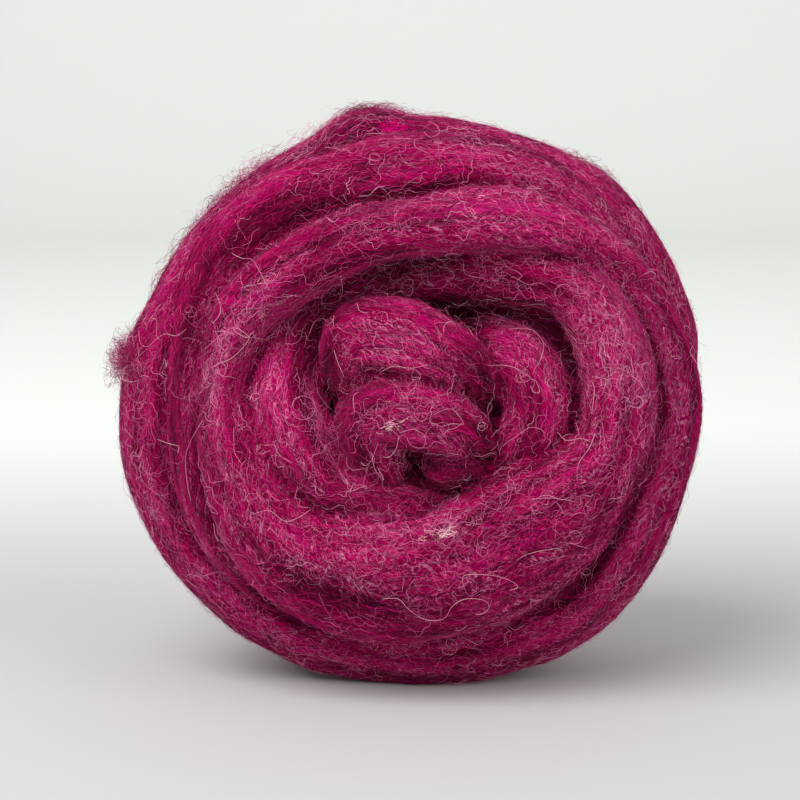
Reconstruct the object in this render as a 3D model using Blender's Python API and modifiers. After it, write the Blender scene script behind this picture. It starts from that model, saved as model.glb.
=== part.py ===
"""A wound ball of wool roving, standing on its rim.

Metres, +Z up. The origin is on the floor under the ball's middle, and the wound face looks
along -Y. The ball is one continuous soft strand, so its turns are fused into one solid.
Places on the strand are given from the winding's middle: a clock angle in degrees, with 0 at
the top and 90 at the right as the face is seen, a radius out from the middle, and a forward
distance towards the viewer of the face. Tables are in millimetres.
"""

import math
from typing import NamedTuple

import bmesh
import bpy
import numpy as np
from mathutils import Vector

MM = 0.001

# The ball as a whole
MIDDLE = Vector((-0.05, 1.35, 77.5)) * MM  # of the winding, once its rim has settled on the floor
WINDING_RADIUS = 71.5 * MM  # the strand's centre line at the rim
WINDING_DEPTH = 43 * MM  # and the furthest that line goes in front of and behind the middle
SQUARENESS = 2.4  # exponent of the ball's side profile: 2 is an ellipse, more is boxier

# The packed turns under the ones that show
CORE_RADIUS = 67 * MM
CORE_DEPTH = 38 * MM
CORE_SQUARENESS = 2.6
DISH_MIDDLE = (4 * MM, 4 * MM)  # across and up: the hollow in the face that holds the knot
DISH_RADIUS = 42 * MM
DISH_DEPTH = 11 * MM
KNOT_MIDDLE = (7 * MM, 3 * MM, 25 * MM)  # across, up and forward: the lump under the folds
KNOT_RADIUS = 25 * MM
KNOT_DEPTH = 13 * MM

# The strand
SECTION_SIDES = 20
SECTION_SQUARENESS = 2.3  # of the strand's squashed round section
STEP = 5 * MM  # between sections along the strand
ROUNDED_END = 0.5  # length of a tucked end, in strand thicknesses

# The turns round the rim and over the back, which take up where the turns on the face end
REAR_PITCH = 19.5 * MM  # from one turn to the next
REAR_WIDTH = 21.5 * MM
REAR_THICKNESS = 17.5 * MM
REAR_START_CLOCK = 184
REAR_START_FORWARD = 15 * MM
REAR_LAST_RADIUS = 6 * MM
CLOCK_STEP = 4  # degrees between worked-out places
SWAY = 1.3 * MM  # unevenness of hand winding
SWAY_PERIOD = 324  # degrees

FLOOR_BLOCK = (0.3, 0.3, 0.1)  # metres: what flattens the foot, just below the floor

# Fusing the turns into one solid
FUSING_VOXEL = 1.3 * MM
SMOOTHING_PASSES = 5
KEPT_SHARE = 0.076  # of the fused mesh's faces


class Turn(NamedTuple):
    """A place on the strand as it goes round the face."""

    clock: float
    radius: float
    forward: float
    width: float
    thickness: float


class Fold(NamedTuple):
    """A place on the folded start of the strand, in the middle of the face."""

    across: float
    up: float
    forward: float
    width: float
    thickness: float


# The strand from where it leaves the knot, clockwise: an inner turn that dives under the top,
# a middle turn that spreads to a wide band at the bottom, and the start of the turn at the rim.
FACE_TURNS = (
    Turn(140, 27, 29, 13, 14),
    Turn(160, 25, 34, 13, 14),
    Turn(182, 23, 38, 13, 14),
    Turn(204, 24, 40, 15, 15),
    Turn(225, 28, 41, 16, 16),
    Turn(250, 30, 40, 19, 17),
    Turn(265, 31.5, 39, 21.5, 17),
    Turn(279, 34, 37, 20, 17),
    Turn(292, 36, 33, 19, 16),
    Turn(306, 38, 28, 18, 15),
    Turn(320, 37, 24, 16, 15),
    Turn(338, 36, 23, 17, 15),
    Turn(0, 37, 25, 19, 16),
    Turn(18, 41, 29, 20, 17),
    Turn(36, 48, 33, 20, 17),
    Turn(50, 54, 36, 17, 17),
    Turn(65, 56, 37, 19, 17),
    Turn(85, 55, 37, 22, 17),
    Turn(99, 54, 39, 23, 17),
    Turn(114, 49, 41, 30, 17),
    Turn(130, 44, 42, 37, 18),
    Turn(148, 42, 42, 39, 18),
    Turn(180, 43, 42, 37, 18),
    Turn(202, 45, 41, 35, 18),
    Turn(222, 47, 40, 31, 17),
    Turn(247, 47, 38, 24, 16),
    Turn(262, 48, 37, 18, 15),
    Turn(276, 49, 36, 14, 15),
    Turn(289, 50, 36, 15, 16),
    Turn(301, 51, 37, 17, 17),
    Turn(313, 50, 39, 18, 17),
    Turn(327, 49, 41, 18, 17),
    Turn(342, 49, 43, 16, 17),
    Turn(0, 50, 44, 15, 17),
    Turn(13, 53, 43, 17, 17),
    Turn(27, 58, 39, 19, 17),
    Turn(40, 62, 35, 17, 16),
    Turn(57, 66, 29, 14, 16),
    Turn(72, 68, 24, 14, 16),
    Turn(88, 70, 20, 15, 16),
    Turn(100, 69, 18, 18, 17),
    Turn(110, 68.5, 17.5, 20, 17),
    Turn(120, 69.5, 17, 22, 17),
    Turn(130, 71, 16.5, 22, 17),
    Turn(140, 72.5, 16, 22, 17),
    Turn(150, 71.5, 16, 22, 17),
    Turn(160, 70, 15.5, 21.5, 17),
    Turn(180, 69.5, 15, 21, 17),
)
# A shorter turn that shows between the middle turn and the rim, at the left and over the top
OUTER_TURN = (
    Turn(205, 60, 20, 10, 12),
    Turn(222, 62, 25, 12, 13),
    Turn(240, 62, 26, 12, 13),
    Turn(257, 60, 26, 12, 13),
    Turn(274, 59, 26, 11, 13),
    Turn(289, 60, 26, 12, 13),
    Turn(300, 62, 28, 15, 15),
    Turn(313, 64, 27, 18, 17),
    Turn(327, 64, 28, 20, 17),
    Turn(342, 63, 30, 20, 17),
    Turn(0, 64, 30, 21, 17),
    Turn(13, 66, 28, 19, 17),
    Turn(27, 68, 24, 16, 16),
    Turn(40, 69, 19, 15, 15),
    Turn(53, 68, 14, 13, 15),
    Turn(66, 66, 10, 11, 13),
)

RIGHT_FOLD = (
    Fold(10, 15, 25, 13, 14),
    Fold(19.5, 16.5, 31.5, 17, 17),
    Fold(28, 14, 34.5, 19.5, 18),
    Fold(33, 4.5, 36, 21, 18),
    Fold(31.5, -6, 36.5, 21.5, 18),
    Fold(26, -14, 35, 18, 16),
    Fold(17, -20, 33, 15, 14),
)
UPPER_FOLD = (
    Fold(-14, 4, 28, 13, 14),
    Fold(-16, 11, 36, 15, 17),
    Fold(-13.5, 21, 41, 20, 19),
    Fold(-4, 21.5, 43, 21, 19),
    Fold(6, 17, 43, 20, 19),
    Fold(14, 11, 39.5, 19, 18),
    Fold(18, 2, 34, 15, 15),
    Fold(18, -8, 26, 12, 12),
)
LOWER_FOLD = (
    Fold(-5, -18, 33, 9, 10),
    Fold(-7, -13.5, 39, 14, 14),
    Fold(-10.5, -6, 42, 17, 17),
    Fold(-11, 1, 44, 18, 18),
    Fold(-3, 2.8, 46, 20.5, 18),
    Fold(5.5, 1.8, 46, 20.5, 18),
    Fold(13, -1.6, 44, 17.5, 17),
    Fold(17, -8, 39, 12, 14),
    Fold(18, -15, 32, 9, 11),
)
TUCKED_END = (
    Fold(20, -10, 34, 10, 11),
    Fold(15, -11, 40, 14, 14),
    Fold(9, -11.5, 41, 14, 14),
    Fold(5, -13, 37, 12, 12),
)
KNOT_FOLDS = (RIGHT_FOLD, UPPER_FOLD, LOWER_FOLD, TUCKED_END)


class Swell(NamedTuple):
    """How far the rim stands out or in at a clock angle, in degrees and millimetres."""

    clock: float
    out: float


RIM_SWELLS = (
    Swell(25, -0.8),
    Swell(41, 3.0),
    Swell(60, 2.2),
    Swell(75, 2.0),
    Swell(90, 0),
    Swell(105, -3.2),
    Swell(122, -0.8),
    Swell(138, 3.0),
    Swell(150, 2.0),
    Swell(162, -1.2),
    Swell(195, -0.5),
    Swell(226, -1.0),
    Swell(245, 0),
    Swell(257, -1),
    Swell(270, -3.0),
    Swell(280, -2.8),
    Swell(290, -6.0),
    Swell(320, -6.5),
    Swell(335, -5.4),
    Swell(342, -4.0),
    Swell(348, 0.4),
    Swell(353, 0.8),
    Swell(359, -1.8),
)


class Section(NamedTuple):
    """One section of the strand, in metres from the winding's middle."""

    centre: Vector
    width: float
    thickness: float


def place(clock, radius, forward):
    """The point at a clock angle in degrees, from the winding's middle."""
    angle = math.radians(clock)
    return Vector((radius * math.sin(angle), -forward, radius * math.cos(angle)))


def unwound(turns):
    """The turns with clock angles that keep growing past a full circle."""
    rows = [list(turns[0])]
    for turn in turns[1:]:
        row = list(turn)
        while row[0] < rows[-1][0]:
            row[0] += 360
        rows.append(row)
    return np.array(rows)


def smoothed(rows, pieces=8):
    """Catmull-Rom values through the rows, in the given number of pieces between rows."""
    padded = np.vstack([2 * rows[0] - rows[1], rows, 2 * rows[-1] - rows[-2]])
    found = []
    for before, start, end, after in zip(padded, padded[1:], padded[2:], padded[3:]):
        for t in np.arange(pieces) / pieces:
            found.append(
                0.5
                * (
                    2 * start
                    + (end - before) * t
                    + (2 * before - 5 * start + 4 * end - after) * t**2
                    + (3 * start - before - 3 * end + after) * t**3
                )
            )
    found.append(rows[-1])
    return np.array(found)


def evenly_spaced(sections):
    """The same run of sections, about STEP apart."""
    values = np.array([[*s.centre, s.width, s.thickness] for s in sections])
    gaps = np.linalg.norm(np.diff(values[:, :3], axis=0), axis=1)
    along = np.concatenate([[0], np.cumsum(gaps)])
    stops = np.linspace(0, along[-1], max(4, round(along[-1] / STEP)))
    rows = np.stack([np.interp(stops, along, column) for column in values.T], axis=1)
    return [Section(Vector(row[:3]), row[3], row[4]) for row in rows]


def turn_sections(turns):
    """Sections of the strand where it is given by clock angle and radius."""
    return [
        Section(place(clock, radius * MM, forward * MM), width * MM, thickness * MM)
        for clock, radius, forward, width, thickness in smoothed(unwound(turns))
    ]


def fold_sections(folds):
    """Sections of a fold, which is given by its place across and up the face."""
    return [
        Section(Vector((across * MM, -forward * MM, up * MM)), width * MM, thickness * MM)
        for across, up, forward, width, thickness in smoothed(np.array(folds, float))
    ]


def rim_swell(clock, forward):
    """How far the rim stands out at a clock angle, less and less away from the middle."""
    clocks, swells = zip(*RIM_SWELLS)
    out = np.interp(clock % 360, clocks, swells, period=360) * MM
    return out * math.exp(-((forward / (WINDING_DEPTH / 2)) ** 2))


def profile_point(lean):
    """Radius and forward distance of the winding surface where it leans this many radians."""
    c, s = math.cos(lean), math.sin(lean)
    power = 2 / SQUARENESS
    return (
        WINDING_RADIUS * abs(c) ** power,
        math.copysign(WINDING_DEPTH * abs(s) ** power, s),
    )


def rear_sections():
    """Sections of the long stretch that winds round the rim and in over the back."""
    leans = np.radians(np.linspace(45, -90, 800))
    profile = np.array([profile_point(lean) for lean in leans])
    keep = (profile[:, 1] < REAR_START_FORWARD) & (profile[:, 0] > REAR_LAST_RADIUS)
    profile = profile[keep]
    gaps = np.linalg.norm(np.diff(profile, axis=0), axis=1)
    wound = np.concatenate([[0], np.cumsum(gaps)])
    clocks_here = REAR_START_CLOCK + 360 * wound / REAR_PITCH
    found = []
    for clock in np.arange(clocks_here[0], clocks_here[-1], CLOCK_STEP):
        sway = SWAY * math.sin(2 * math.pi * (clock - REAR_START_CLOCK) / SWAY_PERIOD)
        radius = np.interp(clock, clocks_here, profile[:, 0]) + sway
        forward = np.interp(clock, clocks_here, profile[:, 1]) + sway
        spot = place(clock, radius + rim_swell(clock, forward), forward)
        found.append(Section(spot, REAR_WIDTH, REAR_THICKNESS))
    return found


def strands():
    """Every stretch of the strand, as runs of evenly spaced sections."""
    runs = [turn_sections(FACE_TURNS) + rear_sections(), turn_sections(OUTER_TURN)]
    runs += [fold_sections(folds) for folds in KNOT_FOLDS]
    return [evenly_spaced(run) for run in runs]


def outward(point):
    """The way out of the ball at a point of the winding surface."""
    radial = Vector((point.x, 0, point.z)) / WINDING_RADIUS**2
    forward = Vector((0, point.y, 0)) / WINDING_DEPTH**2
    return (radial + forward).normalized()


def rounded(distance, length):
    """Size of a section near a strand's rounded end, as a share of its full size."""
    if distance >= length:
        return 1.0
    return math.sqrt(max(0.03, 1 - (1 - distance / length) ** 2))


def add_strand(mesh, sections):
    """Lofts one closed length of strand through its sections."""
    centres = [s.centre for s in sections]
    gap = (centres[1] - centres[0]).length
    power = 2 / SECTION_SQUARENESS
    rings = []
    for i, section in enumerate(sections):
        ahead = centres[min(i + 1, len(centres) - 1)]
        behind = centres[max(i - 1, 0)]
        along = (ahead - behind).normalized()
        up = outward(section.centre)
        up = (up - along * up.dot(along)).normalized()
        side = along.cross(up)
        nearest_end = gap * min(i, len(sections) - 1 - i)
        share = rounded(nearest_end, ROUNDED_END * section.thickness)
        ring = []
        for corner in range(SECTION_SIDES):
            angle = 2 * math.pi * corner / SECTION_SIDES
            c, s = math.cos(angle), math.sin(angle)
            reach = math.copysign(abs(c) ** power, c) * section.width / 2
            rise = math.copysign(abs(s) ** power, s) * section.thickness / 2
            ring.append(mesh.verts.new(section.centre + share * (side * reach + up * rise)))
        rings.append(ring)
    for ring, following in zip(rings, rings[1:]):
        for i in range(SECTION_SIDES):
            j = (i + 1) % SECTION_SIDES
            mesh.faces.new((ring[i], ring[j], following[j], following[i]))
    mesh.faces.new(list(reversed(rings[0])))
    mesh.faces.new(rings[-1])


def add_core(mesh):
    """The packed inside of the ball, with a dish in its face that holds the knot."""
    made = bmesh.ops.create_uvsphere(mesh, u_segments=64, v_segments=40, radius=1)
    for vertex in made["verts"]:
        x, y, z = vertex.co
        flat = math.hypot(x, z)
        size = (flat**CORE_SQUARENESS + abs(y) ** CORE_SQUARENESS) ** (-1 / CORE_SQUARENESS)
        x, y, z = x * size * CORE_RADIUS, y * size * CORE_DEPTH, z * size * CORE_RADIUS
        if y < 0:
            away = math.hypot(x - DISH_MIDDLE[0], z - DISH_MIDDLE[1])
            y += DISH_DEPTH * max(0.0, 1 - (away / DISH_RADIUS) ** 2)
        vertex.co = Vector((x, y, z))


def add_knot_lump(mesh):
    """The packed inside of the knot, under its folds."""
    made = bmesh.ops.create_uvsphere(mesh, u_segments=32, v_segments=20, radius=1)
    across, up, forward = KNOT_MIDDLE
    for vertex in made["verts"]:
        x, y, z = vertex.co
        vertex.co = Vector(
            (across + x * KNOT_RADIUS, y * KNOT_DEPTH - forward, up + z * KNOT_RADIUS)
        )


def wool_material():
    """Heathered magenta wool, dull and with a faint sheen."""
    material = bpy.data.materials.new("magenta_wool")
    material.use_nodes = True
    shader = material.node_tree.nodes["Principled BSDF"]
    shader.inputs["Base Color"].default_value = (0.36, 0.012, 0.13, 1)
    shader.inputs["Roughness"].default_value = 0.9
    shader.inputs["Metallic"].default_value = 0
    shader.inputs["Sheen Weight"].default_value = 0.4
    return material


def add_floor_cutter(collection):
    """A block below the floor, which flattens the settled foot of the rim."""
    bpy.ops.mesh.primitive_cube_add(size=1)
    cutter = bpy.context.object
    cutter.name = "below_the_floor"
    cutter.scale = FLOOR_BLOCK
    cutter.location = (0, 0, -FLOOR_BLOCK[2] / 2)
    cutter.hide_render = True
    cutter.display_type = "WIRE"
    for owner in list(cutter.users_collection):
        owner.objects.unlink(cutter)
    collection.objects.link(cutter)
    return cutter


def add_ball(collection, cutter):
    """The ball: every turn and fold lofted, then fused into one solid."""
    mesh = bmesh.new()
    add_core(mesh)
    add_knot_lump(mesh)
    for sections in strands():
        add_strand(mesh, sections)
    bmesh.ops.recalc_face_normals(mesh, faces=mesh.faces)
    bmesh.ops.translate(mesh, verts=mesh.verts, vec=MIDDLE)
    data = bpy.data.meshes.new("roving_ball")
    mesh.to_mesh(data)
    mesh.free()
    data.materials.append(wool_material())
    data.shade_smooth()
    ball = bpy.data.objects.new("roving_ball", data)
    collection.objects.link(ball)

    fuse = ball.modifiers.new("fuse", "REMESH")
    fuse.mode = "VOXEL"
    fuse.voxel_size = FUSING_VOXEL
    fuse.use_smooth_shade = True
    soften = ball.modifiers.new("soften", "SMOOTH")
    soften.factor = 0.5
    soften.iterations = SMOOTHING_PASSES
    thin_out = ball.modifiers.new("thin_out", "DECIMATE")
    thin_out.ratio = KEPT_SHARE
    settle = ball.modifiers.new("settle", "BOOLEAN")
    settle.operation = "DIFFERENCE"
    settle.solver = "EXACT"
    settle.object = cutter


def main():
    for old in list(bpy.data.objects):
        bpy.data.objects.remove(old)
    parts = bpy.data.collections.new("wool_roving_ball")
    cutters = bpy.data.collections.new("cutters")
    bpy.context.scene.collection.children.link(parts)
    bpy.context.scene.collection.children.link(cutters)
    add_ball(parts, add_floor_cutter(cutters))


main()
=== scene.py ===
"""Looks of the wool roving ball: its heathered surface, its crimped fibres and its stray hairs.

Metres, +Z up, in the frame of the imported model. The surface is built again, finer, from the same
turns and folds as the solid. Fibres then run over it, each along the strand that it lies on.
"""

import math
from typing import NamedTuple

import bmesh
import bpy
import numpy as np
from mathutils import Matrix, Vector
from mathutils.bvhtree import BVHTree


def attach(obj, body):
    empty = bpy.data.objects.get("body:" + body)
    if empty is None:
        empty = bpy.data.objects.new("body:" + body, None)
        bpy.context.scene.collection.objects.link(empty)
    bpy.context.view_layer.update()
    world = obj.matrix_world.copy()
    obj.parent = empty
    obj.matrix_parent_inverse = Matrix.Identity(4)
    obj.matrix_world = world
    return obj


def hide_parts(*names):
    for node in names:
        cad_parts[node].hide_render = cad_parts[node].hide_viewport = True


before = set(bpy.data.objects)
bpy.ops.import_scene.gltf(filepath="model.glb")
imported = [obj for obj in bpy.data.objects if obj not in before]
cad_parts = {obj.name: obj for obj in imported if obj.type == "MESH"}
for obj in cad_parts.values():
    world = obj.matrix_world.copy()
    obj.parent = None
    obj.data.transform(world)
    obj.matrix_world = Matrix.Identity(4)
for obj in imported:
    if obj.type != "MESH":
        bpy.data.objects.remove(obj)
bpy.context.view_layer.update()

MM = 0.001

# The ball as a whole, as the solid has it
MIDDLE = Vector((-0.05, 1.35, 77.5)) * MM  # of the winding, whose rim stands on the floor
WINDING_RADIUS = 71.5 * MM  # the strand's centre line at the rim
WINDING_DEPTH = 43 * MM  # and the furthest that line goes in front of and behind the middle
SQUARENESS = 2.4  # exponent of the ball's side profile: 2 is an ellipse, more is boxier

# The turns under the ones that show
CORE_RADIUS = 67 * MM
CORE_DEPTH = 38 * MM
CORE_SQUARENESS = 2.6
CORE_GRID = (64, 40)  # round it, and from end to end
DISH_MIDDLE = (4 * MM, 4 * MM)  # across and up: the hollow in the face that holds the knot
DISH_RADIUS = 42 * MM
DISH_DEPTH = 11 * MM
KNOT_MIDDLE = (7 * MM, 3 * MM, 25 * MM)  # across, up and forward: the lump under the folds
KNOT_RADIUS = 25 * MM
KNOT_DEPTH = 13 * MM
KNOT_GRID = (32, 20)

# The strand
SECTION_SIDES = 20
SECTION_SQUARENESS = 2.3  # of the strand's squashed round section
STEP = 2.5 * MM  # between sections along the strand
ROUNDED_END = 0.5  # length of a tucked end, in strand thicknesses
TIP_AREA = 0.03  # of its last section, as a share of the full one

# The turns round the rim and over the back, which take up where the turns on the face end
REAR_PITCH = 19.5 * MM  # from one turn to the next
REAR_WIDTH = 21.5 * MM
REAR_THICKNESS = 17.5 * MM
REAR_START_CLOCK = 184  # degrees
REAR_START_FORWARD = 15 * MM
REAR_LAST_RADIUS = 6 * MM
REAR_LEANS = (45, -90)  # degrees from the rim, forward and back
REAR_PLACES = 800  # between those
CLOCK_STEP = 4  # degrees between worked-out places
SWAY = 1.3 * MM  # unevenness of hand winding
SWAY_PERIOD = 324  # degrees

# The fine surface
SURFACE_VOXEL = 1.14 * MM
SMOOTHING_PASSES = 3

# The camera, which looks along +Y and a little down
CAMERA_LEAN = math.radians(8)
CAMERA_DISTANCE = 0.7
CAMERA_BACK = (0, -math.cos(CAMERA_LEAN), math.sin(CAMERA_LEAN))
CAMERA_UP = (0, math.sin(CAMERA_LEAN), math.cos(CAMERA_LEAN))
CAMERA_TARGET = Vector((MIDDLE.x, 0, MIDDLE.z))
CAMERA_PLACE = CAMERA_TARGET + Vector(CAMERA_BACK) * CAMERA_DISTANCE


class Turn(NamedTuple):
    """A place on the strand as it goes round the face, in degrees and millimetres."""

    clock: float
    radius: float
    forward: float
    width: float
    thickness: float


class Fold(NamedTuple):
    """A place on the folded start of the strand, in millimetres from the face's middle."""

    across: float
    up: float
    forward: float
    width: float
    thickness: float


def rows_of(kind, *rows):
    """A table whose rows are all of one kind."""
    return tuple(kind(*row) for row in rows)


FACE_TURNS = rows_of(
    Turn,
    (140, 27, 29, 13, 14), (160, 25, 34, 13, 14), (182, 23, 38, 13, 14), (204, 24, 40, 15, 15),
    (225, 28, 41, 16, 16), (250, 30, 40, 19, 17), (265, 31.5, 39, 21.5, 17),
    (279, 34, 37, 20, 17), (292, 36, 33, 19, 16), (306, 38, 28, 18, 15), (320, 37, 24, 16, 15),
    (338, 36, 23, 17, 15), (0, 37, 25, 19, 16), (18, 41, 29, 20, 17), (36, 48, 33, 20, 17),
    (50, 54, 36, 17, 17), (65, 56, 37, 19, 17), (85, 55, 37, 22, 17), (99, 54, 39, 23, 17),
    (114, 49, 41, 30, 17), (130, 44, 42, 37, 18), (148, 42, 42, 39, 18), (180, 43, 42, 37, 18),
    (202, 45, 41, 35, 18), (222, 47, 40, 31, 17), (247, 47, 38, 24, 16), (262, 48, 37, 18, 15),
    (276, 49, 36, 14, 15), (289, 50, 36, 15, 16), (301, 51, 37, 17, 17), (313, 50, 39, 18, 17),
    (327, 49, 41, 18, 17), (342, 49, 43, 16, 17), (0, 50, 44, 15, 17), (13, 53, 43, 17, 17),
    (27, 58, 39, 19, 17), (40, 62, 35, 17, 16), (57, 66, 29, 14, 16), (72, 68, 24, 14, 16),
    (88, 70, 20, 15, 16), (100, 69, 18, 18, 17), (110, 68.5, 17.5, 20, 17),
    (120, 69.5, 17, 22, 17), (130, 71, 16.5, 22, 17), (140, 72.5, 16, 22, 17),
    (150, 71.5, 16, 22, 17), (160, 70, 15.5, 21.5, 17), (180, 69.5, 15, 21, 17),
)
OUTER_TURN = rows_of(
    Turn,
    (205, 60, 20, 10, 12), (222, 62, 25, 12, 13), (240, 62, 26, 12, 13), (257, 60, 26, 12, 13),
    (274, 59, 26, 11, 13), (289, 60, 26, 12, 13), (300, 62, 28, 15, 15), (313, 64, 27, 18, 17),
    (327, 64, 28, 20, 17), (342, 63, 30, 20, 17), (0, 64, 30, 21, 17), (13, 66, 28, 19, 17),
    (27, 68, 24, 16, 16), (40, 69, 19, 15, 15), (53, 68, 14, 13, 15), (66, 66, 10, 11, 13),
)
RIGHT_FOLD = rows_of(
    Fold,
    (10, 15, 25, 13, 14), (19.5, 16.5, 31.5, 17, 17), (28, 14, 34.5, 19.5, 18),
    (33, 4.5, 36, 21, 18), (31.5, -6, 36.5, 21.5, 18), (26, -14, 35, 18, 16),
    (17, -20, 33, 15, 14),
)
UPPER_FOLD = rows_of(
    Fold,
    (-14, 4, 28, 13, 14), (-16, 11, 36, 15, 17), (-13.5, 21, 41, 20, 19), (-4, 21.5, 43, 21, 19),
    (6, 17, 43, 20, 19), (14, 11, 39.5, 19, 18), (18, 2, 34, 15, 15), (18, -8, 26, 12, 12),
)
LOWER_FOLD = rows_of(
    Fold,
    (-5, -18, 33, 9, 10), (-7, -13.5, 39, 14, 14), (-10.5, -6, 42, 17, 17), (-11, 1, 44, 18, 18),
    (-3, 2.8, 46, 20.5, 18), (5.5, 1.8, 46, 20.5, 18), (13, -1.6, 44, 17.5, 17),
    (17, -8, 39, 12, 14), (18, -15, 32, 9, 11),
)
TUCKED_END = rows_of(
    Fold,
    (20, -10, 34, 10, 11), (15, -11, 40, 14, 14), (9, -11.5, 41, 14, 14), (5, -13, 37, 12, 12),
)
KNOT_FOLDS = (RIGHT_FOLD, UPPER_FOLD, LOWER_FOLD, TUCKED_END)


class Swell(NamedTuple):
    """How far the rim stands out or in at a clock angle, in degrees and millimetres."""

    clock: float
    out: float


RIM_SWELLS = rows_of(
    Swell,
    (25, -0.8), (41, 3.0), (60, 2.2), (75, 2.0), (90, 0), (105, -3.2), (122, -0.8), (138, 3.0),
    (150, 2.0), (162, -1.2), (195, -0.5), (226, -1.0), (245, 0), (257, -1), (270, -3.0),
    (280, -2.8), (290, -6.0), (320, -6.5), (335, -5.4), (342, -4.0), (348, 0.4), (353, 0.8),
    (359, -1.8),
)


class Section(NamedTuple):
    """One section of the strand, in metres from the winding's middle."""

    centre: Vector
    width: float
    thickness: float


def place(clock, radius, forward):
    """The point at a clock angle in degrees, from the winding's middle."""
    angle = math.radians(clock)
    return Vector((radius * math.sin(angle), -forward, radius * math.cos(angle)))


def unwound(turns):
    """The turns with clock angles that keep growing past a full circle."""
    rows = [list(turns[0])]
    for turn in turns[1:]:
        row = list(turn)
        while row[0] < rows[-1][0]:
            row[0] += 360
        rows.append(row)
    return np.array(rows)


def smoothed(rows, pieces=8):
    """Catmull-Rom values through the rows, in the given number of pieces between rows."""
    padded = np.vstack([2 * rows[0] - rows[1], rows, 2 * rows[-1] - rows[-2]])
    found = []
    for before, start, end, after in zip(padded, padded[1:], padded[2:], padded[3:]):
        for t in np.arange(pieces) / pieces:
            found.append(
                0.5
                * (
                    2 * start
                    + (end - before) * t
                    + (2 * before - 5 * start + 4 * end - after) * t**2
                    + (3 * start - before - 3 * end + after) * t**3
                )
            )
    found.append(rows[-1])
    return np.array(found)


def evenly_spaced(sections):
    """The same run of sections, about STEP apart."""
    values = np.array([[*s.centre, s.width, s.thickness] for s in sections])
    gaps = np.linalg.norm(np.diff(values[:, :3], axis=0), axis=1)
    along = np.concatenate([[0], np.cumsum(gaps)])
    stops = np.linspace(0, along[-1], max(4, round(along[-1] / STEP)))
    rows = np.stack([np.interp(stops, along, column) for column in values.T], axis=1)
    return [Section(Vector(row[:3]), row[3], row[4]) for row in rows]


def turn_sections(turns):
    """Sections of the strand where it is given by clock angle and radius."""
    return [
        Section(place(clock, radius * MM, forward * MM), width * MM, thickness * MM)
        for clock, radius, forward, width, thickness in smoothed(unwound(turns))
    ]


def fold_sections(folds):
    """Sections of a fold, which is given by its place across and up the face."""
    return [
        Section(Vector((across * MM, -forward * MM, up * MM)), width * MM, thickness * MM)
        for across, up, forward, width, thickness in smoothed(np.array(folds, float))
    ]


def rim_swell(clock, forward):
    """How far the rim stands out at a clock angle, less and less away from the middle."""
    clocks, swells = zip(*RIM_SWELLS)
    out = np.interp(clock % 360, clocks, swells, period=360) * MM
    return out * math.exp(-((forward / (WINDING_DEPTH / 2)) ** 2))


def profile_point(lean):
    """Radius and forward distance of the winding surface where it leans this many radians."""
    c, s = math.cos(lean), math.sin(lean)
    power = 2 / SQUARENESS
    return (
        WINDING_RADIUS * abs(c) ** power,
        math.copysign(WINDING_DEPTH * abs(s) ** power, s),
    )


def rear_sections():
    """Sections of the long stretch that winds round the rim and in over the back."""
    leans = np.radians(np.linspace(*REAR_LEANS, REAR_PLACES))
    profile = np.array([profile_point(lean) for lean in leans])
    keep = (profile[:, 1] < REAR_START_FORWARD) & (profile[:, 0] > REAR_LAST_RADIUS)
    profile = profile[keep]
    gaps = np.linalg.norm(np.diff(profile, axis=0), axis=1)
    wound = np.concatenate([[0], np.cumsum(gaps)])
    clocks_here = REAR_START_CLOCK + 360 * wound / REAR_PITCH
    found = []
    for clock in np.arange(clocks_here[0], clocks_here[-1], CLOCK_STEP):
        sway = SWAY * math.sin(2 * math.pi * (clock - REAR_START_CLOCK) / SWAY_PERIOD)
        radius = np.interp(clock, clocks_here, profile[:, 0]) + sway
        forward = np.interp(clock, clocks_here, profile[:, 1]) + sway
        spot = place(clock, radius + rim_swell(clock, forward), forward)
        found.append(Section(spot, REAR_WIDTH, REAR_THICKNESS))
    return found


def strands():
    """Every stretch of the strand, as runs of evenly spaced sections."""
    runs = [turn_sections(FACE_TURNS) + rear_sections(), turn_sections(OUTER_TURN)]
    runs += [fold_sections(folds) for folds in KNOT_FOLDS]
    return [evenly_spaced(run) for run in runs]


def outward(point):
    """The way out of the ball at a point of the winding surface."""
    radial = Vector((point.x, 0, point.z)) / WINDING_RADIUS**2
    forward = Vector((0, point.y, 0)) / WINDING_DEPTH**2
    return (radial + forward).normalized()


def rounded(distance, length):
    """Size of a section near a strand's rounded end, as a share of its full size."""
    if distance >= length:
        return 1.0
    return math.sqrt(max(TIP_AREA, 1 - (1 - distance / length) ** 2))


def section_ways(sections, i):
    """The ways along, across and out of the strand at one of its sections."""
    ahead = sections[min(i + 1, len(sections) - 1)].centre
    behind = sections[max(i - 1, 0)].centre
    along = (ahead - behind).normalized()
    up = outward(sections[i].centre)
    up = (up - along * up.dot(along)).normalized()
    return along, along.cross(up), up


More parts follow.
